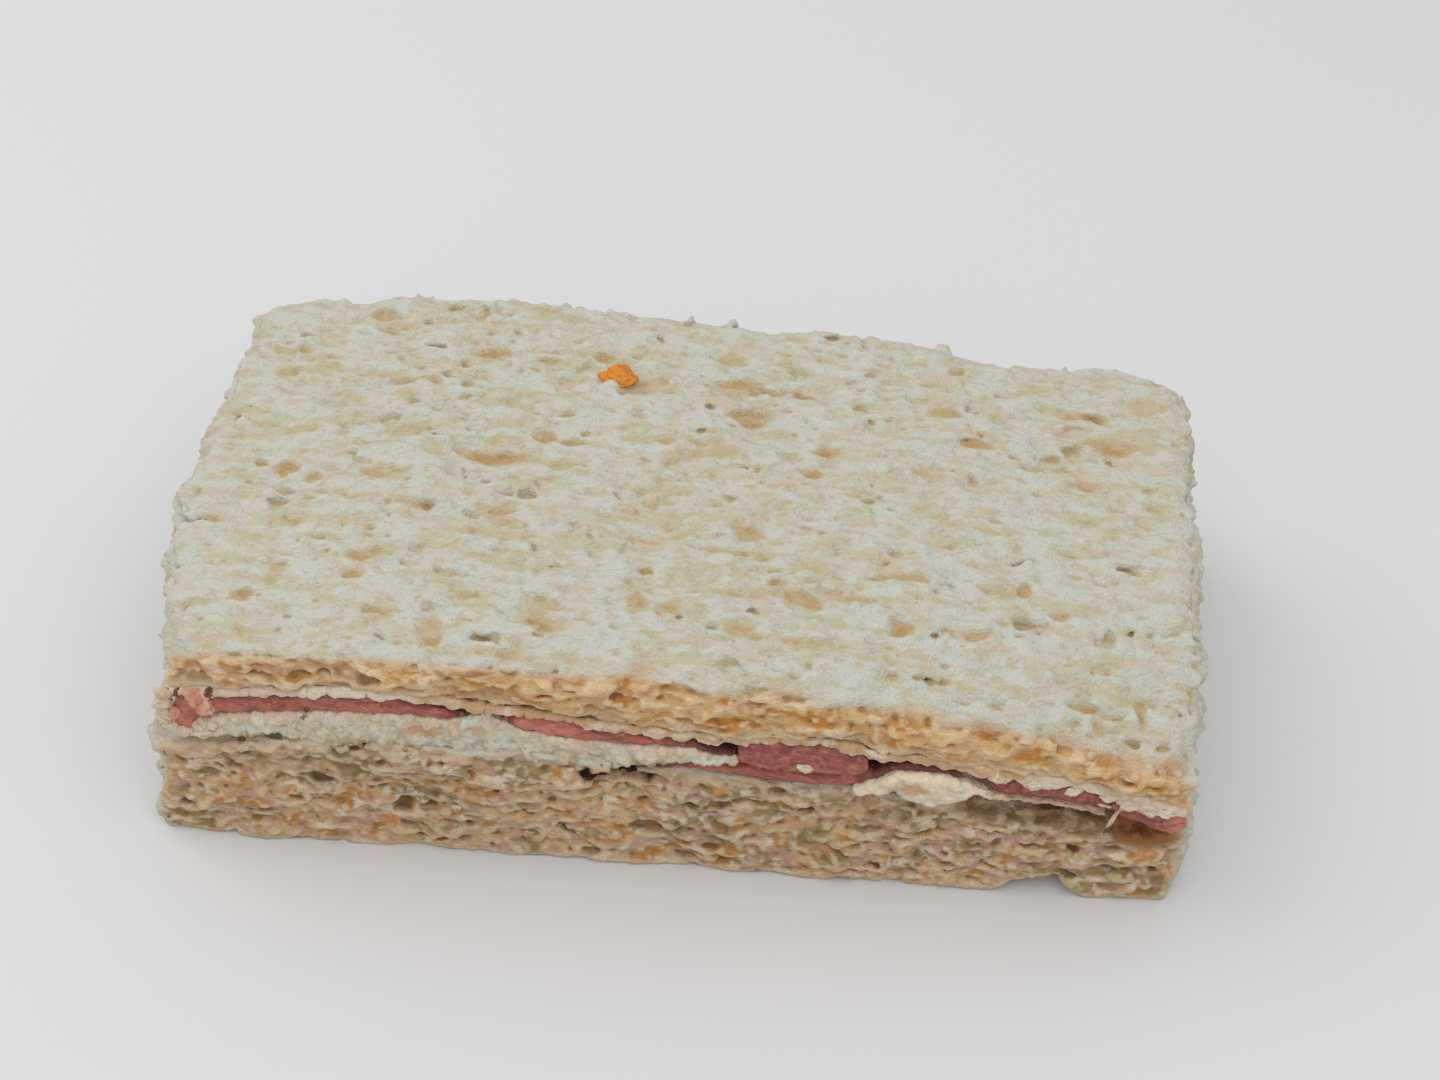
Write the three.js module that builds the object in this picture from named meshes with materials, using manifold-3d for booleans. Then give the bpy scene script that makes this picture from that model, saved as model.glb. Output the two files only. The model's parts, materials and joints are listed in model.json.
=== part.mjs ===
// Half of a crustless ham and blue cheese sandwich, in millimetres with +Z up.
// It rests on its bottom slice at z = 0, and its cut side faces -Y.
// From the bottom up: bread, blue cheese, ham, a thin white spread, bread.
import * as THREE from "three";
import { ImprovedNoise } from "three/addons/math/ImprovedNoise.js";
import { mergeVertices } from "three/addons/utils/BufferGeometryUtils.js";
import Module from "manifold-3d";

const { lerp, smoothstep, clamp, degToRad } = THREE.MathUtils;

// Driving dimensions of the half
const LENGTH = 103; // along the cut, X
const DEPTH = 55; // from the cut to the trimmed back edge, Y
const GAP = 0.3; // air left between pieces that touch

// Places along Y
const CUT_Y = -DEPTH / 2;
const BACK_Y = DEPTH / 2;

// Heights along the cut, as stations of [x, z], each eased into the next
const BOTTOM_SLICE_AT_CUT = [
  [-51, 13.6], [-43, 14.7], [-25, 14.3], [-9, 13.3], [1, 14.6], [11, 13.5], [18, 13.8],
  [24, 12.6], [34, 13.5], [51, 10.6],
];
const FILLING_AT_CUT = [
  [-51, 20.4], [-28, 22.2], [-16, 21.2], [-2, 19.7], [3, 19.4], [13, 20.2], [21, 18.4],
  [36, 17.3], [51, 14.1],
];
const TOP_SLICE_AT_CUT = [[-51, 23.4], [-41, 25.8], [-19, 26.2], [10, 24.7], [30, 21.4], [51, 17.4]];

// Heights away from the cut, where nothing pressed the slices
const BOTTOM_SLICE_INSIDE = 12.4;
const FILLING_INSIDE = [[-51, 16.2], [5, 16], [22, 15.5], [51, 15.3]];
const TOP_SLICE_INSIDE = [[-51, 26], [-30, 27], [12, 26.6], [51, 24.4]];
const MOUND_DEPTH = 40; // the filling is heaped at the cut and thins out over this
const PRESSED_DEPTH = [[-51, 9], [0, 10], [51, 24]]; // how far in the top was pressed down
const PRESSED_CURVE = 2.2;

// Outline of the slices, seen from above
const SIDE_BULGE = 2.3; // the top slice's left side swells by this about half way along
const BULGE_SKEW = 1.2; // above 1, the swelling is fullest nearer the cut
const RIGHT_TAPER = 1.3; // its right side comes in by this towards the cut
const LOWER_BULGE = 0.7; // the bottom slice was squeezed out and is straighter
const LOWER_TAPER = 0.2;
const BACK_EDGE = [
  [-51, -0.9], [-22, 1.6], [4, -0.1], [16, 0.2], [32, -1.7], [44, -0.6], [51, -1.8],
];
const CORNER_RADIUS = 2.6; // the right back corner
const SHARP_CORNER_RADIUS = 1.4; // the left back corner and both at the cut
const FOOT = 0.7; // the bottom slice spreads this far at its lower end edges
const FOOT_CORNER = 2.2; // how far its lower right corner is worn away at the cut

// Bread crumb, as relief in the slices
const TRIM_SOFTNESS = 1.8; // width of the rounded trimmed edges
const RIM_IN = 0.3; // share of that by which a trimmed rim is pulled in
const CUT_RIM_IN = 0.05; // the same at the cut, which is sharper
const EDGE_DROP = 0.4; // share of the softness by which the top falls at its edges
const CUT_EDGE_DROP = 0.15; // the same at the cut
const CRAG_HEIGHT = 0.75;
const PORE_LENGTH = 5.2; // pores are drawn out along the slice
const PORE_WIDTH = 2.6;
const SMALL_PORE_SHARE = 0.6; // size of the small pores beside the coarse ones
const LARGE_PORE_DEPTH = 1.4;
const LARGE_PORE_WIDTH = 1.5;
const LARGE_PORES = [ // x, y and half length
  [-20.7, 2.4, 4.6], [-13.4, 5.8, 3.8], [8.8, 16.6, 5], [4.8, 11, 3], [41.3, 10.9, 4.8],
  [11.3, -14.9, 2.2],
];
const FLAKES = [ // x, y and width
  [-51, -14, 2], [-51, -5, 1.5], [44.3, 27, 2.5], [-45, 27, 2.5], [12, 27.5, 3],
];
const FLAKE_REACH = 0.9;

// Upper edge that the bottom slice has lost at the cut, and the arch under its foot
const TORN_EDGE = [[-51, 1.5], [-45, 0.4], [26, 0.4], [31, 2.6], [43, 3], [49, 1.2]];
const TORN_DEPTH = 3.2;
const LIFTED_PLACE = 37.6;
const LIFTED_WIDTH = 4;
const LIFTED_HEIGHT = 2.7;
const LIFTED_DEPTH = 7;

// Thickness of the filling along the cut, as stations of [x, thickness]
const SPREAD_AT_CUT = [[-51, 0.6], [-40, 0.4], [19, 0.35], [28, 0.5], [31, 1], [37, 0.5], [51, 0.4]];
const HAM_AT_CUT = [
  [-49, 2.1], [-30, 1.9], [-23, 1.5], [-20, 0.6], [-17.4, 0.8], [-14.2, 1.8], [-10, 1.9], [-4, 1.3],
  [4, 0.4], [28, 0.5], [36, 1.8], [51, 1.7],
];
const LOWER_HAM_AT_CUT = [[-4, 0.35], [4, 0.9], [8, 1.5], [16, 1.4], [20, 0.5], [28, 0.35]];
const RIGHT_CHEESE_AT_CUT = [
  [17.8, 0.6], [21, 2.1], [23.4, 3.6], [25.3, 3.8], [27.7, 2.7], [29.2, 1.4], [32, 0.6], [43, 0.35],
];
const SPREAD_INSIDE = 0.45;
const HAM_INSIDE = 1.2;
const LOWER_HAM_INSIDE = 0.95;
const THIN_EDGE = 0.28; // thickness left where a piece runs out
const INSET = 0.6; // the filling stops this far inside the bread
const CORNER_SAG = 0.8; // the corner ham hangs by this at its free end
const TAIL = { from: -27.6, to: -22.6, sag: 0.45 }; // the left ham sinks to its thin right end
const MIDDLE_TAIL = { from: 0.5, to: 5.6, sag: 1.3 }; // so does the middle ham, at the cut

// Where each piece starts and ends along the cut, and how far back it runs
const SPREAD = { left: -48.6, right: 49.6, reach: DEPTH };
const HAM_LEFT = { left: -45.6, right: -20.6, reach: DEPTH };
const HAM_MIDDLE = { left: -16.3, right: 5.6, reach: 39 };
const HAM_LOWER = { left: -3.4, right: 28, reach: DEPTH };
const HAM_FOLD = { left: 6.2, right: 18.4, reach: 16 };
const HAM_RIGHT = { left: 29, right: 42.2, reach: DEPTH };
const HAM_CORNER = { left: 42.8, right: 49.7, reach: 17 };
const CHEESE_LEFT = { left: -46.2, right: 5.8, reach: DEPTH };
const CHEESE_RIGHT = { left: 17.8, right: 42, reach: 48 };
const CLIMB = { from: 17, to: 22 }; // the lower ham climbs over the right cheese here
const ON_HAM = { from: -7, to: -4.5 }; // the left cheese climbs onto the lower ham here
const BARE = { from: -20.2, to: -16.8 }; // between two hams the cheese meets the spread

// Hook of the left ham slice, which folds down over the end of the cheese
const HOOK_SHARE = 0.24; // share of the slice's grid that the hook takes
const HOOK_LENGTH = 5.4;
const HOOK_BEND_SHARE = 0.6;
const HOOK_ANGLE = degToRad(84);
const HOOK_DEPTH = 15; // it has straightened out this far in
const HOOK_THICKNESS = 2.3;
const LEAST_BEND = 0.02;

// Baked orange crumb that is pressed into the top slice
const FLECK_PLACE = [-9.5, 14.9];
const FLECK_SIZE = [2.6, 1.7, 1];
const FLECK_TURN = -0.35;
const FLECK_PROUD = 0.15;

const COLOURS = {
  crumb: 0xd9d2bd,
  cutCrumb: 0xb8996f,
  cheese: 0xe0d6bb,
  ham: 0xb5635a,
  spread: 0xe6dcc4,
};
const DRY = 0.95;
const MOIST = 0.55;

const perlin = new ImprovedNoise();

// A smooth line through a few stations, level beyond the first and the last.
function through(stations) {
  return (place) => {
    const next = stations.findIndex(([station]) => station >= place);
    if (next === 0) return stations[0][1];
    if (next < 0) return stations.at(-1)[1];
    const [from, start] = stations[next - 1];
    const [to, end] = stations[next];
    return lerp(start, end, smoothstep(place, from, to));
  };
}

const fillingInside = through(FILLING_INSIDE);
const topInside = through(TOP_SLICE_INSIDE);
const topAtCut = through(TOP_SLICE_AT_CUT);
const pressedDepth = through(PRESSED_DEPTH);
const backEdge = through(BACK_EDGE);
const tornEdge = through(TORN_EDGE);

// How much of the heap at the cut is left at y: 1 at the cut, 0 deep inside.
const mound = (y) => 1 - smoothstep(y, CUT_Y, CUT_Y + MOUND_DEPTH);

// A value that follows its stations at the cut and settles to another inside.
function fromCut(stations, inside) {
  const atCut = through(stations);
  return (x, y) => lerp(typeof inside === "number" ? inside : inside(x), atCut(x), mound(y));
}

// Surfaces between the layers
const bottomSliceTop = fromCut(BOTTOM_SLICE_AT_CUT, BOTTOM_SLICE_INSIDE);
const fillingTop = fromCut(FILLING_AT_CUT, fillingInside);
const spreadThickness = fromCut(SPREAD_AT_CUT, SPREAD_INSIDE);
const hamThickness = fromCut(HAM_AT_CUT, HAM_INSIDE);
const spreadHigh = (x, y) => fillingTop(x, y) - GAP;
const spreadLow = (x, y) => spreadHigh(x, y) - spreadThickness(x, y);
const hamHigh = (x, y) => spreadLow(x, y) - GAP;
const hamLow = (x, y) => hamHigh(x, y) - hamThickness(x, y);

// The top of the sandwich, pressed down towards the cut
function topSliceTop(x, y) {
  const share = clamp((y - CUT_Y) / pressedDepth(x), 0, 1);
  return topInside(x) - (topInside(x) - topAtCut(x)) * (1 - share) ** PRESSED_CURVE;
}

// A closed block with its surface grid bent: place(a, b, c) takes -1 to 1 along each axis.
function bentBlock(columns, rows, levels, place) {
  const box = new THREE.BoxGeometry(2, 2, 2, columns, rows, levels);
  box.deleteAttribute("normal");
  box.deleteAttribute("uv");
  const grid = mergeVertices(box, 1e-4);
  const points = grid.getAttribute("position");
  for (let i = 0; i < points.count; i++) {
    points.setXYZ(i, ...place(points.getX(i), points.getY(i), points.getZ(i)));
  }
  grid.computeVertexNormals();
  return grid;
}

// How far the sides are drawn in at y, from the straight sides of the half.
function leftDrawnIn(y, bulge = SIDE_BULGE) {
  const fromBack = clamp((BACK_Y - y) / DEPTH, 0, 1) ** BULGE_SKEW;
  return bulge * (1 - Math.sin(Math.PI * fromBack));
}
const rightDrawnIn = (y, taper = RIGHT_TAPER) => taper * ((BACK_Y - y) / DEPTH) ** 2;

// A point of the rectangle, moved in where a corner is rounded.
function roundCorner(x, y, radius) {
  const overX = Math.abs(x) - (LENGTH / 2 - radius);
  const overY = Math.abs(y) - (DEPTH / 2 - radius);
  if (overX <= 0 || overY <= 0) return [x, y];
  const shrink = Math.max(overX, overY) / Math.hypot(overX, overY);
  return [
    Math.sign(x) * (LENGTH / 2 - radius + overX * shrink),
    Math.sign(y) * (DEPTH / 2 - radius + overY * shrink),
  ];
}

// The outline of a slice: a rectangle swollen and drawn in as the loaf was.
function sliceOutline(a, b, bulge, taper) {
  const radius = a > 0 && b > 0 ? CORNER_RADIUS : SHARP_CORNER_RADIUS;
  const [x, y] = roundCorner((a * LENGTH) / 2, (b * DEPTH) / 2, radius);
  const across = (2 * x) / LENGTH;
  const drawnIn = across < 0 ? leftDrawnIn(y, bulge) : rightDrawnIn(y, taper);
  return [x - across * drawnIn, y + backEdge(x) * clamp((b + 1) / 2, 0, 1) ** 3];
}

// Crumb relief: drawn-out pores as dents, and crags between them.
function crumb(x, y, z) {
  const coarse = perlin.noise(x / PORE_LENGTH, y / PORE_WIDTH, z / PORE_WIDTH);
  const long = PORE_LENGTH * SMALL_PORE_SHARE;
  const wide = PORE_WIDTH * SMALL_PORE_SHARE;
  const small = perlin.noise(x / long + 40, y / wide, z / wide);
  return CRAG_HEIGHT * (coarse * 0.8 + small * 0.7 - 0.25);
}

// Dents of the few largest pores of the upper face.
function largePores(x, y) {
  return LARGE_PORES.reduce((deepest, [poreX, poreY, half]) => {
    const away = ((x - poreX) / half) ** 2 + ((y - poreY) / LARGE_PORE_WIDTH) ** 2;
    return Math.max(deepest, LARGE_PORE_DEPTH * Math.exp(-away));
  }, 0);
}

// Loose flakes that stand out from the trimmed edges.
function flakes(x, y) {
  return FLAKES.reduce((sum, [flakeX, flakeY, wide]) => (
    sum + FLAKE_REACH * Math.exp(-((Math.hypot(x - flakeX, y - flakeY) / wide) ** 2))
  ), 0);
}

// Width of rounded edge left at a point of a slice: 1 on the edge, 0 inside it.
function softness(a, b) {
  const inside = Math.min(((1 - Math.abs(a)) * LENGTH) / 2, ((1 - b) * DEPTH) / 2);
  return clamp(1 - inside / TRIM_SOFTNESS, 0, 1) ** 2;
}

// Moves a point of a side wall: crags and flakes out, the outer rim in.
function sideRelief(a, b, c, x, y, z, outerRim) {
  const onEnd = Math.abs(a) === 1;
  const onCut = b === -1;
  const onBack = b === 1;
  if (!onEnd && !onCut && !onBack) return [x, y, z];
  const rim = c === outerRim ? TRIM_SOFTNESS * (onCut ? CUT_RIM_IN : RIM_IN) : 0;
  const push = crumb(x, z, y) - rim + (c > 0 ? flakes(x, y) : 0);
  return [
    x + (onEnd ? Math.sign(a) * push : 0),
    y + (onCut || onBack ? Math.sign(b) * push : 0),
    z,
  ];
}

function topSlice() {
  return bentBlock(42, 24, 4, (a, b, c) => {
    const [x, y] = sliceOutline(a, b, SIDE_BULGE, RIGHT_TAPER);
    const soft = softness(a, b) * TRIM_SOFTNESS;
    const low = fillingTop(x, y) + soft * 0.1;
    const high = topSliceTop(x, y) - soft * (b === -1 ? CUT_EDGE_DROP : EDGE_DROP);
    const relief = c === 1 ? crumb(x, y, 0) - largePores(x, y) : 0;
    return sideRelief(a, b, c, x, y, lerp(low, high, (c + 1) / 2) + relief, 1);
  });
}

// The arch under the bottom slice, where its lower edge stands clear at the cut.
function liftedFoot(x, y) {
  const wide = clamp(1 - ((x - LIFTED_PLACE) / LIFTED_WIDTH) ** 2, 0, 1);
  const deep = clamp(1 - (y - CUT_Y) / LIFTED_DEPTH, 0, 1);
  return LIFTED_HEIGHT * wide * deep ** 1.5;
}

function bottomSlice() {
  return bentBlock(32, 16, 4, (a, b, c) => {
    const [x, y] = sliceOutline(a, b, LOWER_BULGE, LOWER_TAPER);
    const soft = softness(a, b) * TRIM_SOFTNESS;
    const torn = tornEdge(x) * clamp(1 - (y - CUT_Y) / TORN_DEPTH, 0, 1);
    const low = liftedFoot(x, y) + (c === -1 ? soft * 0.2 : 0);
    const high = bottomSliceTop(x, y) - torn - soft * 0.1;
    const z = lerp(low, high, (c + 1) / 2);
    const lowDown = clamp(1 - z / BOTTOM_SLICE_INSIDE, 0, 1);
    const out = FOOT * lowDown * a ** 8;
    const worn = a > 0 && b < 0 ? FOOT_CORNER * lowDown * a ** 8 * b ** 8 : 0;
    return sideRelief(a, b, c, x + Math.sign(a) * out - worn, y, z, -1);
  });
}

// The sides that the filling keeps to, at y, and its back edge, at x.
function cornerCut(y) {
  const over = Math.max(Math.abs(y) - (BACK_Y - CORNER_RADIUS), 0);
  return CORNER_RADIUS - Math.sqrt(Math.max(CORNER_RADIUS ** 2 - over ** 2, 0));
}
const leftSide = (y) => -LENGTH / 2 + leftDrawnIn(y) + (y > 0 ? cornerCut(y) : 0) + INSET;
const rightSide = (y) => LENGTH / 2 - rightDrawnIn(y) - (y > 0 ? cornerCut(y) : 0) - INSET;
const backSide = (x) => BACK_Y + Math.min(backEdge(x), 0) - 2 * INSET;

// Where a piece lies: its y at row b, then its x at column a.
function placeInPlan(piece, a, b, setBack) {
  const left = piece.leftAt ?? (() => piece.left);
  const right = piece.rightAt ?? (() => piece.right);
  const far = Math.min(CUT_Y + piece.reach, backSide(lerp(piece.left, piece.right, (a + 1) / 2)));
  const y = lerp(CUT_Y + setBack, far, (b + 1) / 2);
  const x = lerp(Math.max(left(y), leftSide(y)), Math.min(right(y), rightSide(y)), (a + 1) / 2);
  return [x, y];
}

// A layer of filling that starts at the cut, runs back and thins out at its two ends.
function layer(piece, { low, high, columns, rows, ends, thinned = 0.7, setBack = 0.2 }) {
  return bentBlock(columns, rows, 1, (a, b, c) => {
    const [x, y] = placeInPlan(piece, a, b, setBack);
    const full = Math.max(high(x, y) - low(x, y), THIN_EDGE);
    const kept = Math.max(full * (1 - thinned * Math.abs(a) ** ends), THIN_EDGE);
    return [x, y, (high(x, y) + low(x, y) + c * kept) / 2];
  });
}

// A side that moves from one place to another between two depths behind the cut.
const moving = (near, far, from, to) => (y) => lerp(near, far, smoothstep(y, CUT_Y + from, CUT_Y + to));

// The lower ham slice lies on the bread, then climbs over the right cheese.
const lowerHamThickness = fromCut(LOWER_HAM_AT_CUT, LOWER_HAM_INSIDE);
function lowerHamLow(x, y) {
  const onBread = bottomSliceTop(x, y) + GAP;
  return lerp(onBread, hamHigh(x, y) - lowerHamThickness(x, y), smoothstep(x, CLIMB.from, CLIMB.to));
}
const lowerHamHigh = (x, y) => lowerHamLow(x, y) + lowerHamThickness(x, y);

// How far the middle ham has sunk towards its right end.
const middleSag = (x, y) => (
  MIDDLE_TAIL.sag * smoothstep(x, MIDDLE_TAIL.from, MIDDLE_TAIL.to) * mound(y) ** 2
);

// The left cheese fills all below the ham, and its right end lies on the lower ham.
function leftCheeseLow(x, y) {
  const onHam = smoothstep(x, ON_HAM.from, ON_HAM.to) * (lowerHamThickness(x, y) + GAP);
  return bottomSliceTop(x, y) + GAP + onHam;
}
function leftCheeseHigh(x, y) {
  const middle = (BARE.from + BARE.to) / 2;
  const pastTail = smoothstep(x, BARE.from, middle);
  const bare = pastTail * (1 - smoothstep(x, middle, BARE.to));
  const sag = TAIL.sag * smoothstep(x, TAIL.from, TAIL.to) * (1 - pastTail);
  return lerp(hamLow(x, y) - GAP - sag, hamHigh(x, y), bare) - middleSag(x, y);
}

// The right cheese slumps over the bread and thins to a line under the right ham.
const rightCheeseThickness = through(RIGHT_CHEESE_AT_CUT);
function rightCheeseHigh(x, y) {
  return Math.min(hamLow(x, y), lowerHamLow(x, y)) - GAP;
}
function rightCheeseLow(x, y) {
  return Math.max(bottomSliceTop(x, y) + GAP, rightCheeseHigh(x, y) - rightCheeseThickness(x));
}

// The left ham slice: level over the cheese, then hooked down at its left end.
function leftHam() {
  const levelPart = (along, y, c) => {
    const x = lerp(HAM_LEFT.left, HAM_LEFT.right, along);
    const full = hamThickness(x, y) * (1 - 0.6 * along ** 12);
    const sag = TAIL.sag * smoothstep(x, TAIL.from, TAIL.to);
    return [x, y, (hamHigh(x, y) + hamLow(x, y) + c * full) / 2 - sag];
  };
  const hookedPart = (run, y, c) => {
    const hooked = 1 - smoothstep(y, CUT_Y, CUT_Y + HOOK_DEPTH);
    const length = lerp(HAM_LEFT.left - leftSide(y), HOOK_LENGTH, hooked);
    const bend = Math.max(HOOK_ANGLE * hooked, LEAST_BEND);
    const turned = Math.min(run / HOOK_BEND_SHARE, 1) * bend;
    const straight = Math.max(run - HOOK_BEND_SHARE, 0) * length;
    const radius = (length * HOOK_BEND_SHARE) / bend;
    const out = radius * Math.sin(turned) + straight * Math.cos(turned);
    const down = radius * (1 - Math.cos(turned)) + straight * Math.sin(turned);
    const start = hamThickness(HAM_LEFT.left, y);
    const full = lerp(start, HOOK_THICKNESS, run * hooked) * (1 - 0.4 * run ** 6);
    return [
      HAM_LEFT.left - out - (Math.sin(turned) * c * full) / 2,
      y,
      hamHigh(HAM_LEFT.left, y) - start / 2 - down + (Math.cos(turned) * c * full) / 2,
    ];
  };
  return bentBlock(22, 9, 1, (a, b, c) => {
    const along = (a + 1) / 2;
    const y = lerp(CUT_Y + 0.25, BACK_Y - 2 * INSET, (b + 1) / 2);
    if (along < HOOK_SHARE) return hookedPart(1 - along / HOOK_SHARE, y, c);
    return levelPart((along - HOOK_SHARE) / (1 - HOOK_SHARE), y, c);
  });
}

// The orange crumb: a small flattened pebble.
function fleck() {
  const ball = new THREE.IcosahedronGeometry(0.5, 1);
  ball.deleteAttribute("normal");
  ball.deleteAttribute("uv");
  const pebble = mergeVertices(ball, 1e-4);
  const [x, y] = FLECK_PLACE;
  pebble.scale(...FLECK_SIZE);
  pebble.rotateZ(FLECK_TURN);
  pebble.translate(x, y, topSliceTop(x, y) + crumb(x, y, 0) + FLECK_PROUD);
  return pebble;
}

// The union of two closed geometries that share no vertices.
async function join(first, second) {
  const wasm = await Module();
  wasm.setup();
  const [one, other] = [first, second].map((geometry) => new wasm.Manifold(new wasm.Mesh({
    numProp: 3,
    vertProperties: new Float32Array(geometry.getAttribute("position").array),
    triVerts: new Uint32Array(mergeVertices(geometry, 1e-4).getIndex().array),
  })));
  const { vertProperties, triVerts } = one.add(other).getMesh();
  const joined = new THREE.BufferGeometry();
  joined.setAttribute("position", new THREE.BufferAttribute(vertProperties, 3));
  joined.setIndex(new THREE.BufferAttribute(triVerts, 1));
  joined.computeVertexNormals();
  return joined;
}

const sandwich = new THREE.Group();

function add(name, geometry, color, roughness) {
  const material = new THREE.MeshStandardMaterial({ color, roughness, metalness: 0 });
  const mesh = new THREE.Mesh(geometry, material);
  mesh.name = name;
  sandwich.add(mesh);
}

add("bread_bottom", bottomSlice(), COLOURS.cutCrumb, DRY);
add("bread_top", await join(topSlice(), fleck()), COLOURS.crumb, DRY);

add("spread", layer(SPREAD, {
  low: spreadLow, high: spreadHigh, columns: 26, rows: 8, ends: 10,
}), COLOURS.spread, MOIST);

add("blue_cheese_left", layer({
  ...CHEESE_LEFT,
  leftAt: moving(CHEESE_LEFT.left, -LENGTH / 2, 13, 22),
  rightAt: moving(CHEESE_LEFT.right, ON_HAM.from, 6, 20),
}, {
  low: leftCheeseLow,
  high: leftCheeseHigh,
  columns: 24,
  rows: 8,
  ends: 12,
  thinned: 0.45,
  setBack: -0.1,
}), COLOURS.cheese, MOIST);

add("blue_cheese_right", layer(CHEESE_RIGHT, {
  low: rightCheeseLow, high: rightCheeseHigh, columns: 13, rows: 6, ends: 4, setBack: -0.5,
}), COLOURS.cheese, MOIST);

add("ham_left", leftHam(), COLOURS.ham, MOIST);

add("ham_middle", layer(HAM_MIDDLE, {
  low: (x, y) => hamLow(x, y) - middleSag(x, y),
  high: (x, y) => hamHigh(x, y) - middleSag(x, y),
  columns: 12,
  rows: 6,
  ends: 8,
}), COLOURS.ham, MOIST);

add("ham_lower", layer(HAM_LOWER, {
  low: lowerHamLow, high: lowerHamHigh, columns: 18, rows: 8, ends: 12,
}), COLOURS.ham, MOIST);

add("ham_fold", layer(HAM_FOLD, {
  low: (x, y) => lowerHamHigh(x, y) + GAP,
  high: hamHigh,
  columns: 9,
  rows: 5,
  ends: 10,
  thinned: 0.25,
  setBack: 0,
}), COLOURS.ham, MOIST);

add("ham_right", layer({ ...HAM_RIGHT, rightAt: moving(HAM_RIGHT.right, LENGTH / 2, 19, 24) }, {
  low: hamLow, high: hamHigh, columns: 12, rows: 8, ends: 8,
}), COLOURS.ham, MOIST);

add("ham_corner", layer(HAM_CORNER, {
  low: (x, y) => hamLow(x, y) - CORNER_SAG * smoothstep(x, HAM_CORNER.left, HAM_CORNER.right),
  high: hamHigh,
  columns: 6,
  rows: 5,
  ends: 12,
  setBack: 0,
}), COLOURS.ham, MOIST);

// The origin is under the middle of the sandwich.
const middle = new THREE.Box3().setFromObject(sandwich).getCenter(new THREE.Vector3());
sandwich.position.set(-middle.x, -middle.y, 0);

export default sandwich;
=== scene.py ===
# %% [markdown]
# # A crustless ham and blue cheese sandwich half
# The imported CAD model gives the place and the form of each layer. This script dresses
# it as real food: open bread crumb, moist ham, blue cheese and a thin white spread.
# Lengths in the script are in millimetres, and Blender's are in metres, so MM turns one
# into the other. The first cell loads the frame with the CAD model's nodes.

import json
import math

import bmesh
import bpy
import numpy as np
from mathutils import Matrix, Vector, noise
from mathutils.bvhtree import BVHTree

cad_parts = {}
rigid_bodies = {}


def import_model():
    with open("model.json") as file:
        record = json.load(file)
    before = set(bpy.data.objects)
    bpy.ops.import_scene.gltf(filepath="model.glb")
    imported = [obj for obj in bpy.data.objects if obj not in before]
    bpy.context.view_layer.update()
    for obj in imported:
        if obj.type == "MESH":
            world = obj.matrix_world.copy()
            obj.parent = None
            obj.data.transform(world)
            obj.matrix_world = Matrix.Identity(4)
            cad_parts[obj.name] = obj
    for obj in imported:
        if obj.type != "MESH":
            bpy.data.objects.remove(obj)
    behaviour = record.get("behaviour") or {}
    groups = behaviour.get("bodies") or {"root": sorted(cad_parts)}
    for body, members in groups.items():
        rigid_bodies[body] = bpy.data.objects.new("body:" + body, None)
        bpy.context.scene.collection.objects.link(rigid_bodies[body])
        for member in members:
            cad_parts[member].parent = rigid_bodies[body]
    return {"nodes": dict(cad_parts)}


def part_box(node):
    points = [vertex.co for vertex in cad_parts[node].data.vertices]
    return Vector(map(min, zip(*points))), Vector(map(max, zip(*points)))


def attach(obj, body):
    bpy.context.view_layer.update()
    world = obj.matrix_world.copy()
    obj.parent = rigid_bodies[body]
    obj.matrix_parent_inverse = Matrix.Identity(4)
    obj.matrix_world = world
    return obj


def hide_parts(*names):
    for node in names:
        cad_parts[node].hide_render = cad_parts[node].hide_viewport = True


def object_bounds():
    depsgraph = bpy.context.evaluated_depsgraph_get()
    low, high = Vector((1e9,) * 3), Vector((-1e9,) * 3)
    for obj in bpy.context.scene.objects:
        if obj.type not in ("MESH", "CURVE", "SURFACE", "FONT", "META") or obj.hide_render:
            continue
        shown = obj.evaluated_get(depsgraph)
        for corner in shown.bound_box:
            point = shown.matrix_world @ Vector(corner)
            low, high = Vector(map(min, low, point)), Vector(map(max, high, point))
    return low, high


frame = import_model()
cad_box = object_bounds()
MM = 0.001

nodes = frame["nodes"]
print("nodes:", sorted(nodes))

# %% [markdown]
# ## Measures taken from the frame
# The cut side faces -Y. The dressing starts from the CAD solids and from these few
# values. Places and stretches along the cut are given in the frame's own X and Z, in mm.

# %% Measures
sandwich_low, sandwich_high = (np.array(corner) / MM for corner in cad_box)
CUT_Y = sandwich_low[1]
BACK_Y = sandwich_high[1]
print("sandwich in mm:", np.round(sandwich_high - sandwich_low, 1))

# %% [markdown]
# ## Camera
# The photograph looks down on the cut side from 43 degrees, turned a little to the
# right of square and rolled by 3.4 degrees. A 70 mm lens on a 36 mm sensor gives the
# same slight perspective as the photograph's.

# %% Camera
CAMERA_TARGET = Vector((2.3, 7.4, 12.0)) * MM
CAMERA_DISTANCE = 299 * MM
CAMERA_AZIMUTH = math.radians(1.2)
CAMERA_ELEVATION = math.radians(43)
CAMERA_ROLL = math.radians(3.37)


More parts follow.
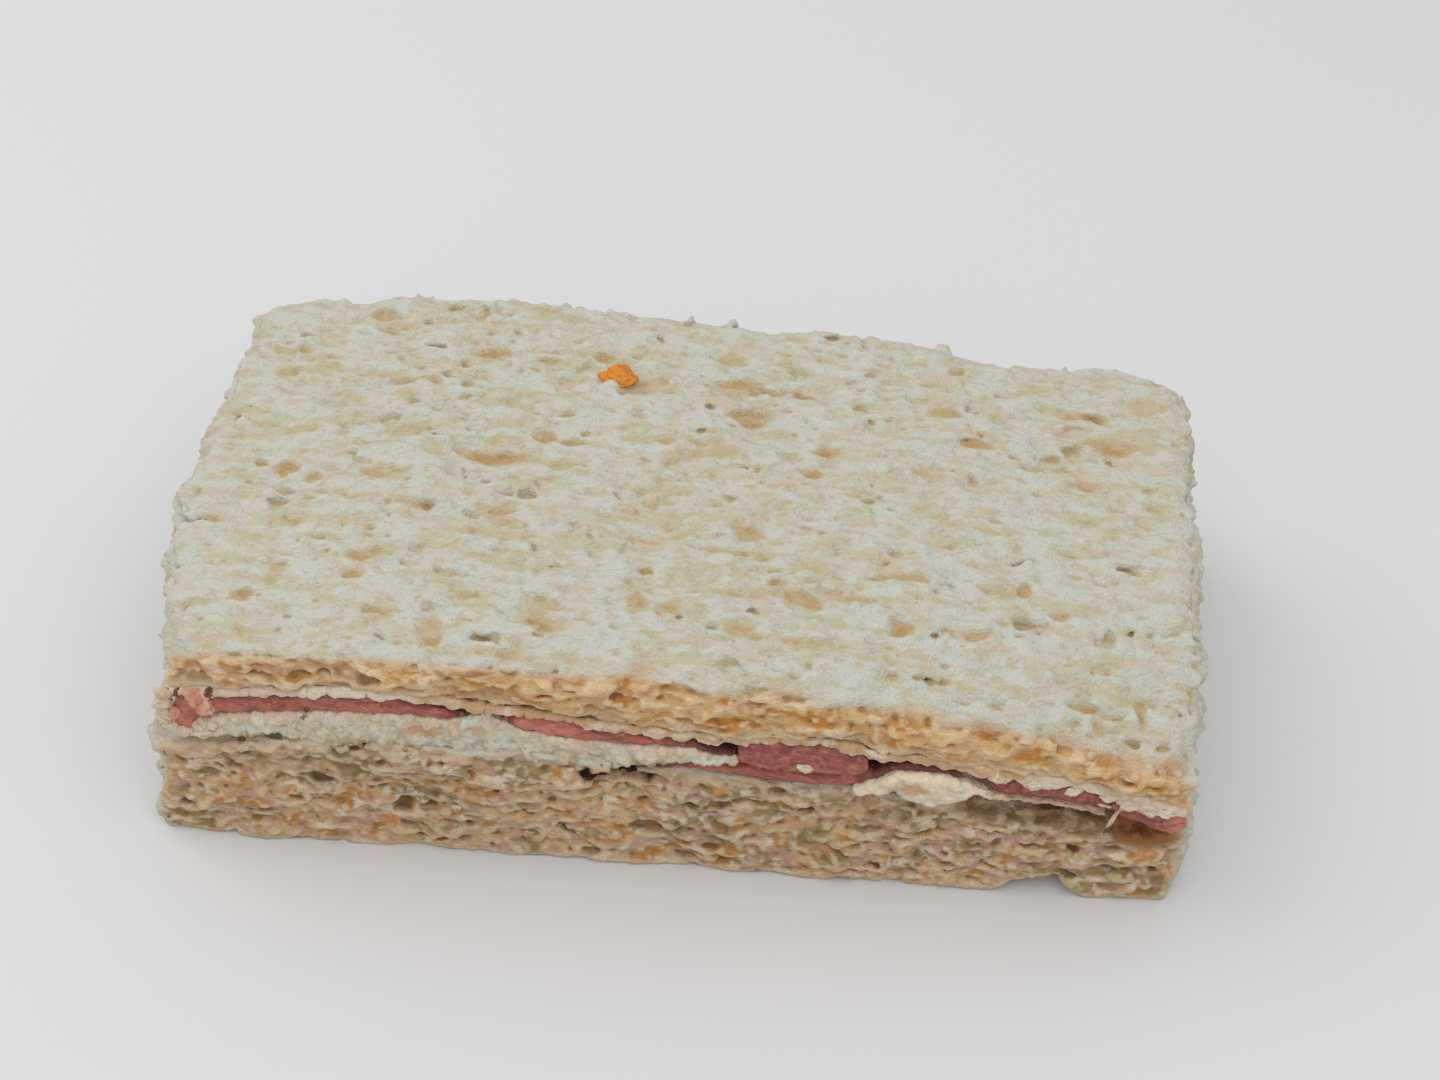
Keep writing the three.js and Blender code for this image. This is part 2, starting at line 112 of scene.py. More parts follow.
def add_camera():
    """Puts the camera where the photograph was taken from."""
    lens = bpy.data.cameras.new("camera")
    lens.lens = 70
    lens.sensor_width = 36
    camera = bpy.data.objects.new("camera", lens)
    bpy.context.scene.collection.objects.link(camera)
    level = math.cos(CAMERA_ELEVATION)
    back = Vector((
        math.sin(CAMERA_AZIMUTH) * level,
        -math.cos(CAMERA_AZIMUTH) * level,
        math.sin(CAMERA_ELEVATION),
    ))
    right = Vector((0, 0, 1)).cross(back).normalized()
    up = back.cross(right)
    turn = Matrix((right, up, back)).transposed().to_4x4()
    camera.matrix_world = (
        Matrix.Translation(CAMERA_TARGET + back * CAMERA_DISTANCE)
        @ turn
        @ Matrix.Rotation(CAMERA_ROLL, 4, "Z")
    )
    bpy.context.scene.camera = camera
    return camera


camera = add_camera()
print("camera at mm:", [round(v / MM, 1) for v in camera.matrix_world.translation])

# %% [markdown]
# ## Helpers for colours and materials
# Colours are written as sRGB hex numbers and turned into linear light by one function.
# `add_node` adds any shader node with its settings and links. A food's colour isn't one
# pattern but several stains over each other, so `paint` lays coats over a ground colour,
# each where its mask says. Masks come from soft noise (`mottle`), whose sizes are real
# millimetres, from numbers that the vertices keep (`by_vertex`), and from places.

# %% Material helpers
# the colour sockets of the Mix node, by number
MIX_FACTOR, MIX_FROM, MIX_TO = 0, 6, 7
MIX_COLOUR_OUT = 2


def linear(hex_colour):
    """An sRGB colour such as 0xD9D2BD as linear red, green, blue and alpha."""
    parts = [(hex_colour >> shift & 255) / 255 for shift in (16, 8, 0)]
    return [p / 12.92 if p <= 0.04045 else ((p + 0.055) / 1.055) ** 2.4 for p in parts] + [1]


def add_node(tree, kind, inputs=None, **settings):
    """Adds a node, sets its properties, and fills each input with a value or a link."""
    made = tree.nodes.new(kind)
    for name, value in settings.items():
        setattr(made, name, value)
    for socket, value in (inputs or {}).items():
        if isinstance(value, bpy.types.NodeSocket):
            tree.links.new(value, made.inputs[socket])
        else:
            made.inputs[socket].default_value = value
    return made


def in_units_of(tree, x, y, z):
    """Object coordinates counted in patterns of x, y and z millimetres."""
    place = add_node(tree, "ShaderNodeTexCoord").outputs["Object"]
    scale = [1 / (size * MM) for size in (x, y, z)]
    return add_node(tree, "ShaderNodeMapping", {"Vector": place, "Scale": scale}).outputs[0]


def mottle(tree, size, low, high, detail=2.0):
    """A soft noise mask from 0 to 1: size in mm, and where it starts and ends."""
    clouds = add_node(tree, "ShaderNodeTexNoise", {
        "Vector": in_units_of(tree, *size), "Scale": 1.0, "Detail": detail,
    })
    return add_node(tree, "ShaderNodeMapRange", {
        "Value": clouds.outputs["Fac"], "From Min": low, "From Max": high,
    }, interpolation_type="SMOOTHSTEP").outputs[0]


def by_vertex(tree, name, low, high):
    """A mask from a number that each vertex keeps: 0 at low, and 1 at high."""
    number = add_node(tree, "ShaderNodeAttribute", attribute_name=name)
    return add_node(tree, "ShaderNodeMapRange", {
        "Value": number.outputs["Fac"], "From Min": low, "From Max": high,
    }, interpolation_type="SMOOTHSTEP").outputs[0]


def along_axis(tree, axis, low, high):
    """A mask that goes from 0 to 1 between two places along an axis, in mm."""
    place = add_node(tree, "ShaderNodeTexCoord").outputs["Object"]
    value = add_node(tree, "ShaderNodeSeparateXYZ", {"Vector": place}).outputs[axis]
    return add_node(tree, "ShaderNodeMapRange", {
        "Value": value, "From Min": low * MM, "From Max": high * MM,
    }, interpolation_type="SMOOTHSTEP").outputs[0]


def paint(tree, ground, coats):
    """Lays coats of (mask, colour) over a ground colour, one after another."""
    colour = linear(ground)
    for mask, coat in coats:
        colour = add_node(tree, "ShaderNodeMix", {
            MIX_FACTOR: mask, MIX_FROM: colour, MIX_TO: linear(coat),
        }, data_type="RGBA").outputs[MIX_COLOUR_OUT]
    return colour


def times(tree, *values):
    """Where several masks overlap: their product."""
    product = values[0]
    for value in values[1:]:
        product = add_node(
            tree, "ShaderNodeMath", {0: product, 1: value}, operation="MULTIPLY"
        ).outputs[0]
    return product


def food_material(name):
    """A new material with an empty surface shader: returns it, its tree and its shader."""
    material = bpy.data.materials.new(name)
    material.use_nodes = True
    tree = material.node_tree
    return material, tree, tree.nodes["Principled BSDF"]


def set_skin(tree, shader, colour, roughness):
    """Gives a surface its colour, and how matt it is."""
    tree.links.new(colour, shader.inputs["Base Color"])
    shader.inputs["Roughness"].default_value = roughness


def let_light_in(shader, share, reach, depth):
    """The share of light that goes in, how far red, green and blue go, and the depth in mm."""
    shader.inputs["Subsurface Weight"].default_value = share
    shader.inputs["Subsurface Radius"].default_value = reach
    shader.inputs["Subsurface Scale"].default_value = depth * MM


def roughen(tree, shader, height, strength, depth):
    """Grain too fine to be modelled: a mask as bump, its strength and its depth in mm."""
    bump = add_node(tree, "ShaderNodeBump", {
        "Height": height, "Strength": strength, "Distance": depth * MM,
    })
    tree.links.new(bump.outputs[0], shader.inputs["Normal"])


print("0x808080 in linear light:", round(linear(0x808080)[0], 3))

# %% [markdown]
# ## Fields
# The crumb is made as a field on a fine grid of points: negative inside the bread,
# positive outside and in its pores. `Grid` holds the points. Smooth random fields come
# from coarse lattices of random numbers, drawn from seeded generators and stretched to
# the fine grid, so that each run gives the same crumb.

# %% Field helpers
def on_axis(values, axis):
    """A row of values, turned so that it runs along one axis of a field."""
    return values.reshape([-1 if i == axis else 1 for i in range(3)])


class Grid:
    """A block of points in mm, with an even pitch."""

    def __init__(self, low, high, pitch):
        self.low = np.array(low, float)
        self.pitch = pitch
        self.shape = tuple(np.ceil((np.array(high) - self.low) / pitch).astype(int) + 1)
        self.axes = [self.low[i] + pitch * np.arange(self.shape[i]) for i in range(3)]

    def part(self, low, high):
        """Slices for the points between two corners."""
        first = np.clip(((low - self.low) / self.pitch).astype(int), 0, None)
        last = np.clip(((high - self.low) / self.pitch).astype(int) + 2, 1, self.shape)
        return tuple(slice(a, max(b, a + 1)) for a, b in zip(first, last))


def stretched(field, axis, places, soft):
    """The field read at places along one axis, counted in its own steps."""
    low = np.clip(np.floor(places).astype(int), 0, field.shape[axis] - 2)
    share = np.clip(places - low, 0, 1).astype(np.float32)
    if soft:
        share = share * share * (3 - 2 * share)
    share = on_axis(share, axis)
    return np.take(field, low, axis) * (1 - share) + np.take(field, low + 1, axis) * share


def resampled(field, from_grid, to_grid):
    """A field on a coarse grid, read at the points of a finer one."""
    for axis in range(3):
        places = (to_grid.axes[axis] - from_grid.low[axis]) / from_grid.pitch
        field = stretched(field, axis, places, False)
    return field


def noise_field(grid, size, seed):
    """Smooth noise from -1 to 1, with lumps of size = (x, y, z) mm."""
    random = np.random.default_rng(seed)
    places = [(axis - axis[0]) / step + 0.5 for axis, step in zip(grid.axes, size)]
    lattice = random.uniform(-1, 1, [int(p[-1]) + 2 for p in places]).astype(np.float32)
    for axis in range(3):
        lattice = stretched(lattice, axis, places[axis], True)
    return lattice


def blurred(field, steps):
    """A box blur over 2 * steps + 1 points on each axis."""
    for axis in range(3):
        padding = [(steps + 1, steps) if i == axis else (0, 0) for i in range(3)]
        sums = np.cumsum(np.pad(field, padding, "edge"), axis, dtype=np.float64)
        count = field.shape[axis]
        high = np.take(sums, np.arange(count) + 2 * steps + 1, axis)
        low = np.take(sums, np.arange(count), axis)
        field = ((high - low) / (2 * steps + 1)).astype(np.float32)
    return field


def read_at(field, grid, points):
    """The field's values at any points in mm."""
    places = (points - grid.low) / grid.pitch
    low = np.clip(np.floor(places).astype(int), 0, np.array(field.shape) - 2)
    share = np.clip(places - low, 0, 1)
    total = np.zeros(len(points))
    for corner in np.ndindex(2, 2, 2):
        weight = np.prod(np.where(corner, share, 1 - share), axis=1)
        total += weight * field[tuple((low + corner).T)]
    return total


print("noise from -1 to 1, drawn by", type(np.random.default_rng(1).bit_generator).__name__)

# %% [markdown]
# ## From a solid to a field and back to a mesh
# `distance_field` measures how far each point is from a CAD solid's surface, with rays
# from below to tell inside from outside. `surface_net` puts one vertex in every cell
# that the surface crosses and joins them with quads, which keeps the soft, rounded
# walls between pores.

# %% Solid to field, field to mesh
def solid_surface(node):
    """A search tree in mm over a CAD node's surface."""
    mesh = nodes[node].data
    points = [v.co / MM for v in mesh.vertices]
    return BVHTree.FromPolygons(points, [p.vertices for p in mesh.polygons])


def distance_field(node, pitch, margin):
    """Signed distance in mm to a CAD node's surface, negative inside, and its grid."""
    surface = solid_surface(node)
    low, high = (np.array(corner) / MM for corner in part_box(node))
    grid = Grid(low - margin, high + margin, pitch)
    field = np.empty(grid.shape, np.float32)
    up = Vector((0, 0, 1))
    for i, x in enumerate(grid.axes[0]):
        for j, y in enumerate(grid.axes[1]):
            crossings = []
            start = Vector((x, y, grid.axes[2][0] - 1))
            hit = surface.ray_cast(start, up)[0]
            while hit is not None:
                crossings.append(hit.z)
                hit = surface.ray_cast(hit + up * 1e-3, up)[0]
            inside = np.searchsorted(crossings, grid.axes[2]) % 2 == 1
            away = [surface.find_nearest(Vector((x, y, z)))[3] for z in grid.axes[2]]
            field[i, j] = np.where(inside, -1, 1) * np.array(away)
    return field, grid


CELL_CORNERS = np.array(list(np.ndindex(2, 2, 2)))
CELL_EDGES = [
    (a, b) for a in range(8) for b in range(a + 1, 8)
    if np.abs(CELL_CORNERS[a] - CELL_CORNERS[b]).sum() == 1
]


def surface_net(field, grid):
    """Vertices in mm and quads of the surface where the field is zero."""
    inside = field < 0
    cells = tuple(n - 1 for n in field.shape)
    full = np.zeros(cells, np.int8)
    for i, j, k in CELL_CORNERS:
        full += inside[i : i + cells[0], j : j + cells[1], k : k + cells[2]]
    crossed = (full > 0) & (full < 8)
    index = np.full(cells, -1, np.int64)
    index[crossed] = np.arange(crossed.sum())
    base = np.argwhere(crossed)
    values = np.stack([field[tuple((base + c).T)] for c in CELL_CORNERS], axis=1)
    total = np.zeros((len(base), 3))
    count = np.zeros(len(base))
    for a, b in CELL_EDGES:
        cut = (values[:, a] < 0) != (values[:, b] < 0)
        share = np.divide(values[:, a], values[:, a] - values[:, b], where=cut,
                          out=np.zeros(len(base)))
        place = CELL_CORNERS[a] + share[:, None] * (CELL_CORNERS[b] - CELL_CORNERS[a])
        total += np.where(cut[:, None], place, 0)
        count += cut
    vertices = grid.low + grid.pitch * (base + total / count[:, None])
    quads = []
    for axis in range(3):
        across, along = (axis + 1) % 3, (axis + 2) % 3
        step = np.eye(3, dtype=int)
        ahead = np.roll(inside, -1, axis)
        changes = np.argwhere(inside != ahead)
        limit = np.array(cells)
        inner = (changes[:, axis] < limit[axis])
        for other in (across, along):
            inner &= (changes[:, other] > 0) & (changes[:, other] < limit[other])
        changes = changes[inner]
        ring = [
            index[tuple((changes - back).T)]
            for back in (step[across] + step[along], step[along], 0 * step[0], step[across])
        ]
        quad = np.stack(ring, axis=1)
        leaving = inside[tuple(changes.T)]
        quads.append(np.where(leaving[:, None], quad, quad[:, ::-1]))
    return vertices, np.concatenate(quads)


def largest_body(vertices, quads):
    """Only the largest connected body of a mesh, so that no loose scrap is left."""
    label = np.arange(len(vertices))
    while True:
        lowest = label[quads].min(axis=1)
        lowered = label.copy()
        for corner in quads.T:
            np.minimum.at(lowered, corner, lowest)
        lowered = lowered[lowered]
        if np.array_equal(lowered, label):
            break
        label = lowered
    largest = label == np.bincount(label).argmax()
    new_index = np.cumsum(largest) - 1
    return vertices[largest], new_index[quads[largest[quads[:, 0]]]]


def mesh_object(name, vertices, faces):
    """A Blender object from vertices in mm."""
    mesh = bpy.data.meshes.new(name)
    mesh.from_pydata((vertices * MM).tolist(), [], faces.tolist())
    made = bpy.data.objects.new(name, mesh)
    bpy.context.scene.collection.objects.link(made)
    return made


def applied(piece, kind, **settings):
    """Runs one modifier on a piece and keeps the result as its mesh."""
    modifier = piece.modifiers.new(kind, kind)
    for name, value in settings.items():
        setattr(modifier, name, value)
    evaluated = piece.evaluated_get(bpy.context.evaluated_depsgraph_get())
    old = piece.data
    piece.data = bpy.data.meshes.new_from_object(evaluated)
    piece.data.name = old.name
    piece.modifiers.clear()
    bpy.data.meshes.remove(old)
    return piece


def points_of(piece):
    """The piece's vertices in mm."""
    flat = np.empty(3 * len(piece.data.vertices), np.float32)
    piece.data.vertices.foreach_get("co", flat)
    return flat.reshape(-1, 3).astype(float) / MM


def keep_number(piece, name, values):
    """Keeps one number for each vertex, for the material to read."""
    made = piece.data.attributes.new(name, "FLOAT", "POINT")
    made.data.foreach_set("value", np.asarray(values, np.float32))


print("each cell of the grid has", len(CELL_EDGES), "edges")

# %% [markdown]
# ## Bread crumb
# White tin bread is a foam whose gas cells were drawn out sideways when the dough was
# rolled, so each opened cell is a flattened bowl, longest along the slice. It could be
# faked with bump alone, but its outline is ragged, and light catches the walls between
# the cells. So each slice is carved as a field: the CAD slice is swelled a little, given
# soft lumps, torn hollows and some pores, and turned back into a mesh.

# %% Sizes of the crumb
BELOW, ABOVE = -1, 1  # the side of a slice that the filling hides
CRUMB_PITCH = 0.27  # distance in mm between the points of the carved field
SOLID_PITCH = 0.8  # the same for the CAD solid's own distances, which are smooth
MARGIN = 2.2  # how far in mm the grid reaches past the solid
MOST_TRIANGLES = 195_000  # of one slice
FILLED_OUT = 0.4  # the crumb swells by this, which makes up for what its pores take
HIDDEN_OUT = 0.1  # the same on the side that the filling covers
REST_HEIGHT = 0.02  # the underside is cut off flat here
print("crumb: one point every", CRUMB_PITCH, "mm")

# %% [markdown]
# ## Relief of the skin
# Cut crumb is never flat: it is lumpy over a few millimetres and grainy over half a
# millimetre, and where two cut sides meet, flakes stand out. Each layer below is noise
# of one size. It is drawn out in the direction that the skin faces, so that it makes
# relief and not caves.

# %% Relief
# height and lump size in mm of each layer, and the form of its lumps
GROUND = [
    (0.2, (3.8, 2.2, 2.0), "round"),
    (0.2, (1.5, 0.9, 0.9), "round"),
    (0.18, (0.8, 0.6, 0.6), "round"),
    (0.13, (0.45, 0.4, 0.4), "round"),
]
CUT_GROUND = [
    (0.35, (2.4, 1.9, 1.9), "round"),
    (0.2, (1.1, 1.0, 1.0), "round"),
    (0.12, (0.5, 0.5, 0.5), "round"),
]
FRAY = [
    (0.6, (2.6, 2.3, 1.9), "flaky"),
    (0.8, (1.5, 1.3, 1.1), "flaky"),
    (0.6, (0.8, 0.8, 0.7), "round"),
]
FLAKE = 2.5  # how much further flaky lumps stand out than round ones
FLAKE_LEVEL = 0.3  # taken off them, so that they add little thickness
THROUGH = 6.0  # relief keeps its form over this depth in mm


def long_in(axis, size, share=1.0):
    """A lump size, drawn out in the direction that the skin faces."""
    return [THROUGH if i == axis else size[i] * share for i in range(3)]


def relief(grid, layers, facing, seed):
    """The sum of several layers of noise in mm, positive outwards.

    facing holds how squarely the skin faces X, Y and Z. Each layer is drawn for the
    three directions.
    """
    total = np.zeros(grid.shape, np.float32)
    for axis in range(3):
        for i, (high, size, form) in enumerate(layers):
            bumps = noise_field(grid, long_in(axis, size), seed + 10 * axis + i)
            if form == "flaky":
                bumps = FLAKE * bumps.clip(0) ** 2 - FLAKE_LEVEL
            total += facing[axis] * high * bumps
    return total


def smooth(share):
    """An eased step from 0 to 1."""
    share = np.clip(share, 0, 1)
    return share * share * (3 - 2 * share)


print("highest relief in mm:", round(sum(high for high, _, _ in GROUND + CUT_GROUND), 2))

# %% [markdown]
# ## Torn cells
# The knife tears the larger cells open, so what shows isn't a round hole but a patch
# with a ragged outline and soft walls. Spheres would look like cheese. So noise with
# several octaves is cut off at a level: where it is higher, the skin sinks.

# %% Torn cells
# depth in mm, size in mm and share of the skin of the ragged hollows
HOLLOWS = [(0.3, (5.4, 1.8, 2.3), 0.24), (0.24, (2.6, 1.0, 1.4), 0.13)]
CUT_HOLLOWS = [(0.36, (3.6, 2.4, 2.4), 0.3), (0.22, (1.5, 1.2, 1.2), 0.2)]
OCTAVES = (1, 0.6, 0.4, 0.25)  # strength of the lumps that halve in size, in a ragged outline
WALL = 0.6  # how soft a ragged hollow's walls are: a share of the noise's height


def ragged_hollows(grid, layers, facing, seed):
    """How deep the torn cells are in mm: patches with ragged outlines and soft walls."""
    depth = np.zeros(grid.shape, np.float32)
    for axis in range(3):
        for i, (deep, size, share) in enumerate(layers):
            first = seed + 100 * axis + 10 * i
            bumps = sum(
                strength * noise_field(grid, long_in(axis, size, 0.5**j), first + j)
                for j, strength in enumerate(OCTAVES)
            )
            level = np.quantile(bumps[::6, ::6, ::6], 1 - share)
            depth += facing[axis] * deep * smooth((bumps - level) / WALL)
    return depth


print("torn cells cover up to", round(100 * sum(share for _, _, share in HOLLOWS)), "% of the skin")

# %% [markdown]
# ## Hollows that the photograph shows
# The largest cells give this half its own face, so they are placed one by one. Each is
# written as the place in the photograph where it shows. A ray from the camera through
# that place finds the slice, so the hollow lies in the bread from any side.

# %% Hollows that the photograph shows
PHOTO_SIZE = (1440, 1080)
PHOTO_LENS = camera.data.lens / camera.data.sensor_width * PHOTO_SIZE[0]  # focal length in pixels
SEEN_DEPTH = 0.55  # how deep in mm these hollows are on the top
SEEN_CUT_DEPTH = 1.1  # and at the cut
SEEN_THROUGH = 4.0  # half size in mm in which each is looked for, into the bread
SEEN_WALL = (1.6, 1.2)  # full depth within 0.5 of the half sizes, and none past 1.33
# the middle, half width and half height of each, in pixels
SEEN_ON_TOP = [
    (290, 372, 13, 5), (302, 353, 7, 5), (380, 318, 17, 4), (430, 380, 18, 5), (490, 356, 25, 4),
    (548, 362, 14, 4), (545, 437, 14, 8), (575, 445, 20, 3), (498, 460, 42, 7), (285, 470, 15, 5),
    (313, 477, 9, 6), (370, 472, 14, 5), (258, 465, 8, 6), (242, 595, 12, 5), (362, 553, 18, 6),
    (355, 573, 13, 5), (377, 615, 16, 4), (470, 598, 15, 4), (505, 515, 11, 5), (540, 627, 24, 5),
    (430, 643, 12, 6), (638, 602, 16, 7), (672, 606, 14, 5), (645, 573, 15, 4), (750, 390, 42, 4),
    (803, 402, 12, 4), (752, 420, 26, 6), (825, 455, 18, 6), (808, 473, 18, 4), (750, 534, 22, 6),
    (800, 598, 23, 7), (775, 583, 13, 4), (740, 630, 18, 8), (945, 415, 18, 6), (955, 372, 6, 5),
    (975, 447, 23, 5), (1085, 417, 27, 4), (1110, 447, 36, 6), (1090, 490, 16, 5), (900, 580, 30, 4),
    (1025, 595, 11, 5), (905, 630, 14, 8), (1060, 617, 13, 5), (975, 637, 16, 4), (1085, 712, 16, 4),
    (1140, 712, 9, 9), (1100, 730, 9, 6),
]
SEEN_AT_CUT = [
    (604, 774, 16, 3), (628, 779, 14, 3), (568, 828, 6, 9), (592, 849, 12, 5), (645, 829, 18, 9),
    (687, 804, 12, 5), (727, 805, 12, 5), (775, 793, 9, 5), (805, 811, 10, 5), (401, 805, 9, 9),
    (427, 805, 13, 4), (330, 793, 13, 4), (1070, 850, 9, 6), (1112, 870, 8, 5), (1155, 867, 6, 5),
    (300, 677, 10, 5), (318, 672, 8, 4), (340, 680, 12, 4), (410, 690, 14, 4), (500, 690, 12, 5),
]


def sight_line(across, down):
    """Where the camera is, in mm, and where a pixel of the photograph lies from there."""
    aim = Vector((across - PHOTO_SIZE[0] / 2, PHOTO_SIZE[1] / 2 - down, -PHOTO_LENS)) / PHOTO_LENS
    return camera.matrix_world.translation / MM, camera.matrix_world.to_3x3() @ aim


def seen_in_photo(across, down, surface):
    """The place in mm on a surface that the camera sees at a pixel, and a pixel's size there."""
    start, aim = sight_line(across, down)
    hit = surface.ray_cast(start, aim)[0]
    return hit, (start - hit).length / PHOTO_LENS if hit else 0


def add_seen(depth, grid, warped, surface, seen, axis, deep):
    """Sinks ragged hollows where the photograph shows them, on the side that faces an axis."""
    drop = math.sin(CAMERA_ELEVATION) if axis == 2 else math.cos(CAMERA_ELEVATION)
    across, up = (0, 1) if axis == 2 else (0, 2)
    for u, v, half_width, half_height in seen:
        middle, pixel = seen_in_photo(u, v, surface)
        if middle is None:
            continue
        half = np.full(3, SEEN_THROUGH)
        half[across] = half_width * pixel
        half[up] = half_height * pixel / drop
        low, high = np.array(middle) - 1.5 * half, np.array(middle) + 1.5 * half
        part = grid.part(low, high)
        away = sum(((warped[i][part] - middle[i]) / half[i]) ** 2 for i in (across, up))
        sunk = deep * smooth(SEEN_WALL[0] - SEEN_WALL[1] * np.sqrt(away))
        depth[part] = np.maximum(depth[part], sunk)


print(len(SEEN_ON_TOP), "hollows on the top,", len(SEEN_AT_CUT), "at the cut")

# %% [markdown]
# ## Cracks, pushed-up crumb and the torn edge
# Three things at the cut of the bottom slice are its own. A narrow crack runs under the
# cheese: a thin groove between two places of the photograph. The knife pushed crumb up
# over the cheese: flat ovals are added to the field before it is carved. At the right
# the upper edge was torn back, so there the covered side is open crumb too.

# %% Cracks, pushed-up crumb and the torn edge
SEEN_CRACKS = [((588, 776), (616, 779)), ((614, 780), (644, 789))]  # from pixel to pixel
CRACK_HALF = 0.32  # half width in mm
CRACK_DEPTH = 2.4
CRACK_FRONT = 0.6  # the crumb there stands this far in front of the cut
# where crumb is pushed up: x, half width and rise in mm
FLAPS = [(-14.5, 8.5, 1.8), (-25.5, 7.5, 1.0), (-37.0, 6.0, 0.5)]
FLAP_FRONT = 0.35  # how far a flap stands in front of the cut
FLAP_BACK = 1.3  # how far it reaches behind it
FLAP_ROOT = 0.5  # how far it starts under the slice's edge
RECESS = (26, 29, 51, 48)  # along X in mm: where the torn edge starts and ends
RECESS_REACH = (3.4, 1.6)  # how far behind the cut it ends, and over what width it fades


def open_cracks(field, grid, warped, seen):
    """Opens narrow cracks in the cut side, and gives how near each point is to one, which the material
    paints dark as shade.
    """
    cracked = np.zeros(grid.shape, np.float32)
    for pixels in seen:
        ends = []
        for pixel in pixels:
            start, aim = sight_line(*pixel)
            ends.append(np.array(start + aim * ((CUT_Y - CRACK_FRONT - start.y) / aim.y)))
        start, end = ends
        reach = np.array((1.5, CRACK_DEPTH + 2, 1.5))
        part = grid.part(np.minimum(start, end) - reach, np.maximum(start, end) + reach)
        run_x, run_z = end[0] - start[0], end[2] - start[2]
        off_x, off_z = warped[0][part] - start[0], warped[2][part] - start[2]
        share = np.clip((off_x * run_x + off_z * run_z) / (run_x**2 + run_z**2), 0, 1)
        away = np.hypot(off_x - share * run_x, off_z - share * run_z) - CRACK_HALF
        inside = np.maximum(away, warped[1][part] - start[1] - CRACK_DEPTH)
        field[part] = np.maximum(field[part], -inside)
        cracked[part] = np.maximum(cracked[part], smooth(1.5 - away / CRACK_HALF))
    return cracked


def add_flaps(body, grid, surface):
    """Adds the pushed-up crumb, and gives how much each point belongs to it, from 0 to 1."""
    flapped = np.zeros(grid.shape, np.float32)
    deep = FLAP_FRONT + FLAP_BACK
    for x, half_width, rise in FLAPS:
        edge = surface.ray_cast(Vector((x, CUT_Y + 1.5, 60)), Vector((0, 0, -1)))[0]
        middle = np.array((x, CUT_Y + (FLAP_BACK - FLAP_FRONT) / 2, edge.z - FLAP_ROOT))
        half = np.array((half_width, deep / 2, rise + FLAP_ROOT))
        part = grid.part(middle - half - 1, middle + half + 1)
        offsets = [(grid.axes[i][part[i]] - middle[i]) / half[i] for i in range(3)]
        away = np.sqrt(sum(on_axis(offset, i) ** 2 for i, offset in enumerate(offsets)))
        body[part] = np.minimum(body[part], (away - 1) * half.min())
        flapped[part] = np.maximum(flapped[part], smooth(3 * (1.35 - away)))
    return flapped


def in_recess(grid):
    """How far a point is in the torn upper edge of the bottom slice, from 0 to 1."""
    x, y = grid.axes[0], grid.axes[1]
    along = smooth((x - RECESS[0]) / (RECESS[1] - RECESS[0]))
    along *= smooth((RECESS[2] - x) / (RECESS[2] - RECESS[3]))
    reach, fade = RECESS_REACH
    deep = smooth((CUT_Y + reach - y) / fade)
    return (along[:, None, None] * deep[None, :, None]).astype(np.float32)


print("pushed-up crumb at x =", [x for x, _, _ in FLAPS])

# %% [markdown]
# ## Round pores
# Between the torn cells there are small round pores. Their number comes from how many
# show on a square millimetre. Each is a flattened bowl that is open outwards, with a
# soft rim, and its middle lies a little under the skin.

# %% Round pores
# radius in mm and number to a square mm, over all the skin and at the cut
PORE_SIZES = [(0.55, 0.02), (0.38, 0.08), (0.28, 0.15)]
CUT_PORE_SIZES = [(0.55, 0.03), (0.38, 0.1)]
PORE_STRETCH = (2.0, 1.0, 0.8)
PORE_DEPTHS = (-0.75, 0.1)  # how deep the pores' middles lie under the skin, in radii
CUT_PORE_DEPTHS = (-0.6, 0.2)
RIM_WIDTH = 0.3  # how soft in mm the edge of a pore is
SHAPE_VARIES = (0.75, 1.3)
SIZE_VARIES = 0.25  # as a share, with most pores near the usual size


def pores_of(body, skin, out, grid, size, depths, random):
    """Centres, radii and open sides of the pores of one size, under the skin that shows."""
    radius, density = size
    high, low = depths
    depth = -body / radius
    candidates = np.argwhere((depth > high) & (depth < low) & skin)
    area = len(candidates) * grid.pitch**3 / ((low - high) * radius)
    chosen = candidates[random.choice(len(candidates), int(area * density), replace=False)]
    centres = grid.low + grid.pitch * (chosen + random.uniform(-0.5, 0.5, chosen.shape))
    shape = np.array(PORE_STRETCH) * random.uniform(*SHAPE_VARIES, chosen.shape)
    radii = radius * shape * random.lognormal(0, SIZE_VARIES, (len(chosen), 1))
    return centres, radii, out[tuple(chosen.T)]


def open_pores(field, grid, warped, centres, radii, outs):
    """Hollows each pore out of the field as a bowl that is open outwards."""
    for centre, radius, out in zip(centres, radii, outs):
        reach = 1.3 * radius + 0.5
        part = grid.part(centre - reach, centre + reach)
        away = 0
        for i in range(3):
            offset = warped[i][part] - centre[i]
            if i == abs(out) - 1:
                offset = np.minimum(offset * np.sign(out), 0)
            away = away + (offset / radius[i]) ** 2
        hollow = (1 - np.sqrt(away)) * radius.min()
        solid = field[part]
        share = np.clip(0.5 + 0.5 * (solid - hollow) / RIM_WIDTH, 0, 1)
        field[part] = hollow + (solid - hollow) * share + RIM_WIDTH * share * (1 - share)


print("pore radii in mm:", [radius for radius, _ in PORE_SIZES])

# %% [markdown]
# ## Where the skin faces, frays and rests
# The relief needs to know which way the skin faces, where two sides meet in an edge,
# and where the slice rests on the table. All three come from the field itself: its
# slope, how mixed that slope is, and its height. The coordinates are pushed about a
# little too, so that whatever is carved with them gets a ragged outline.

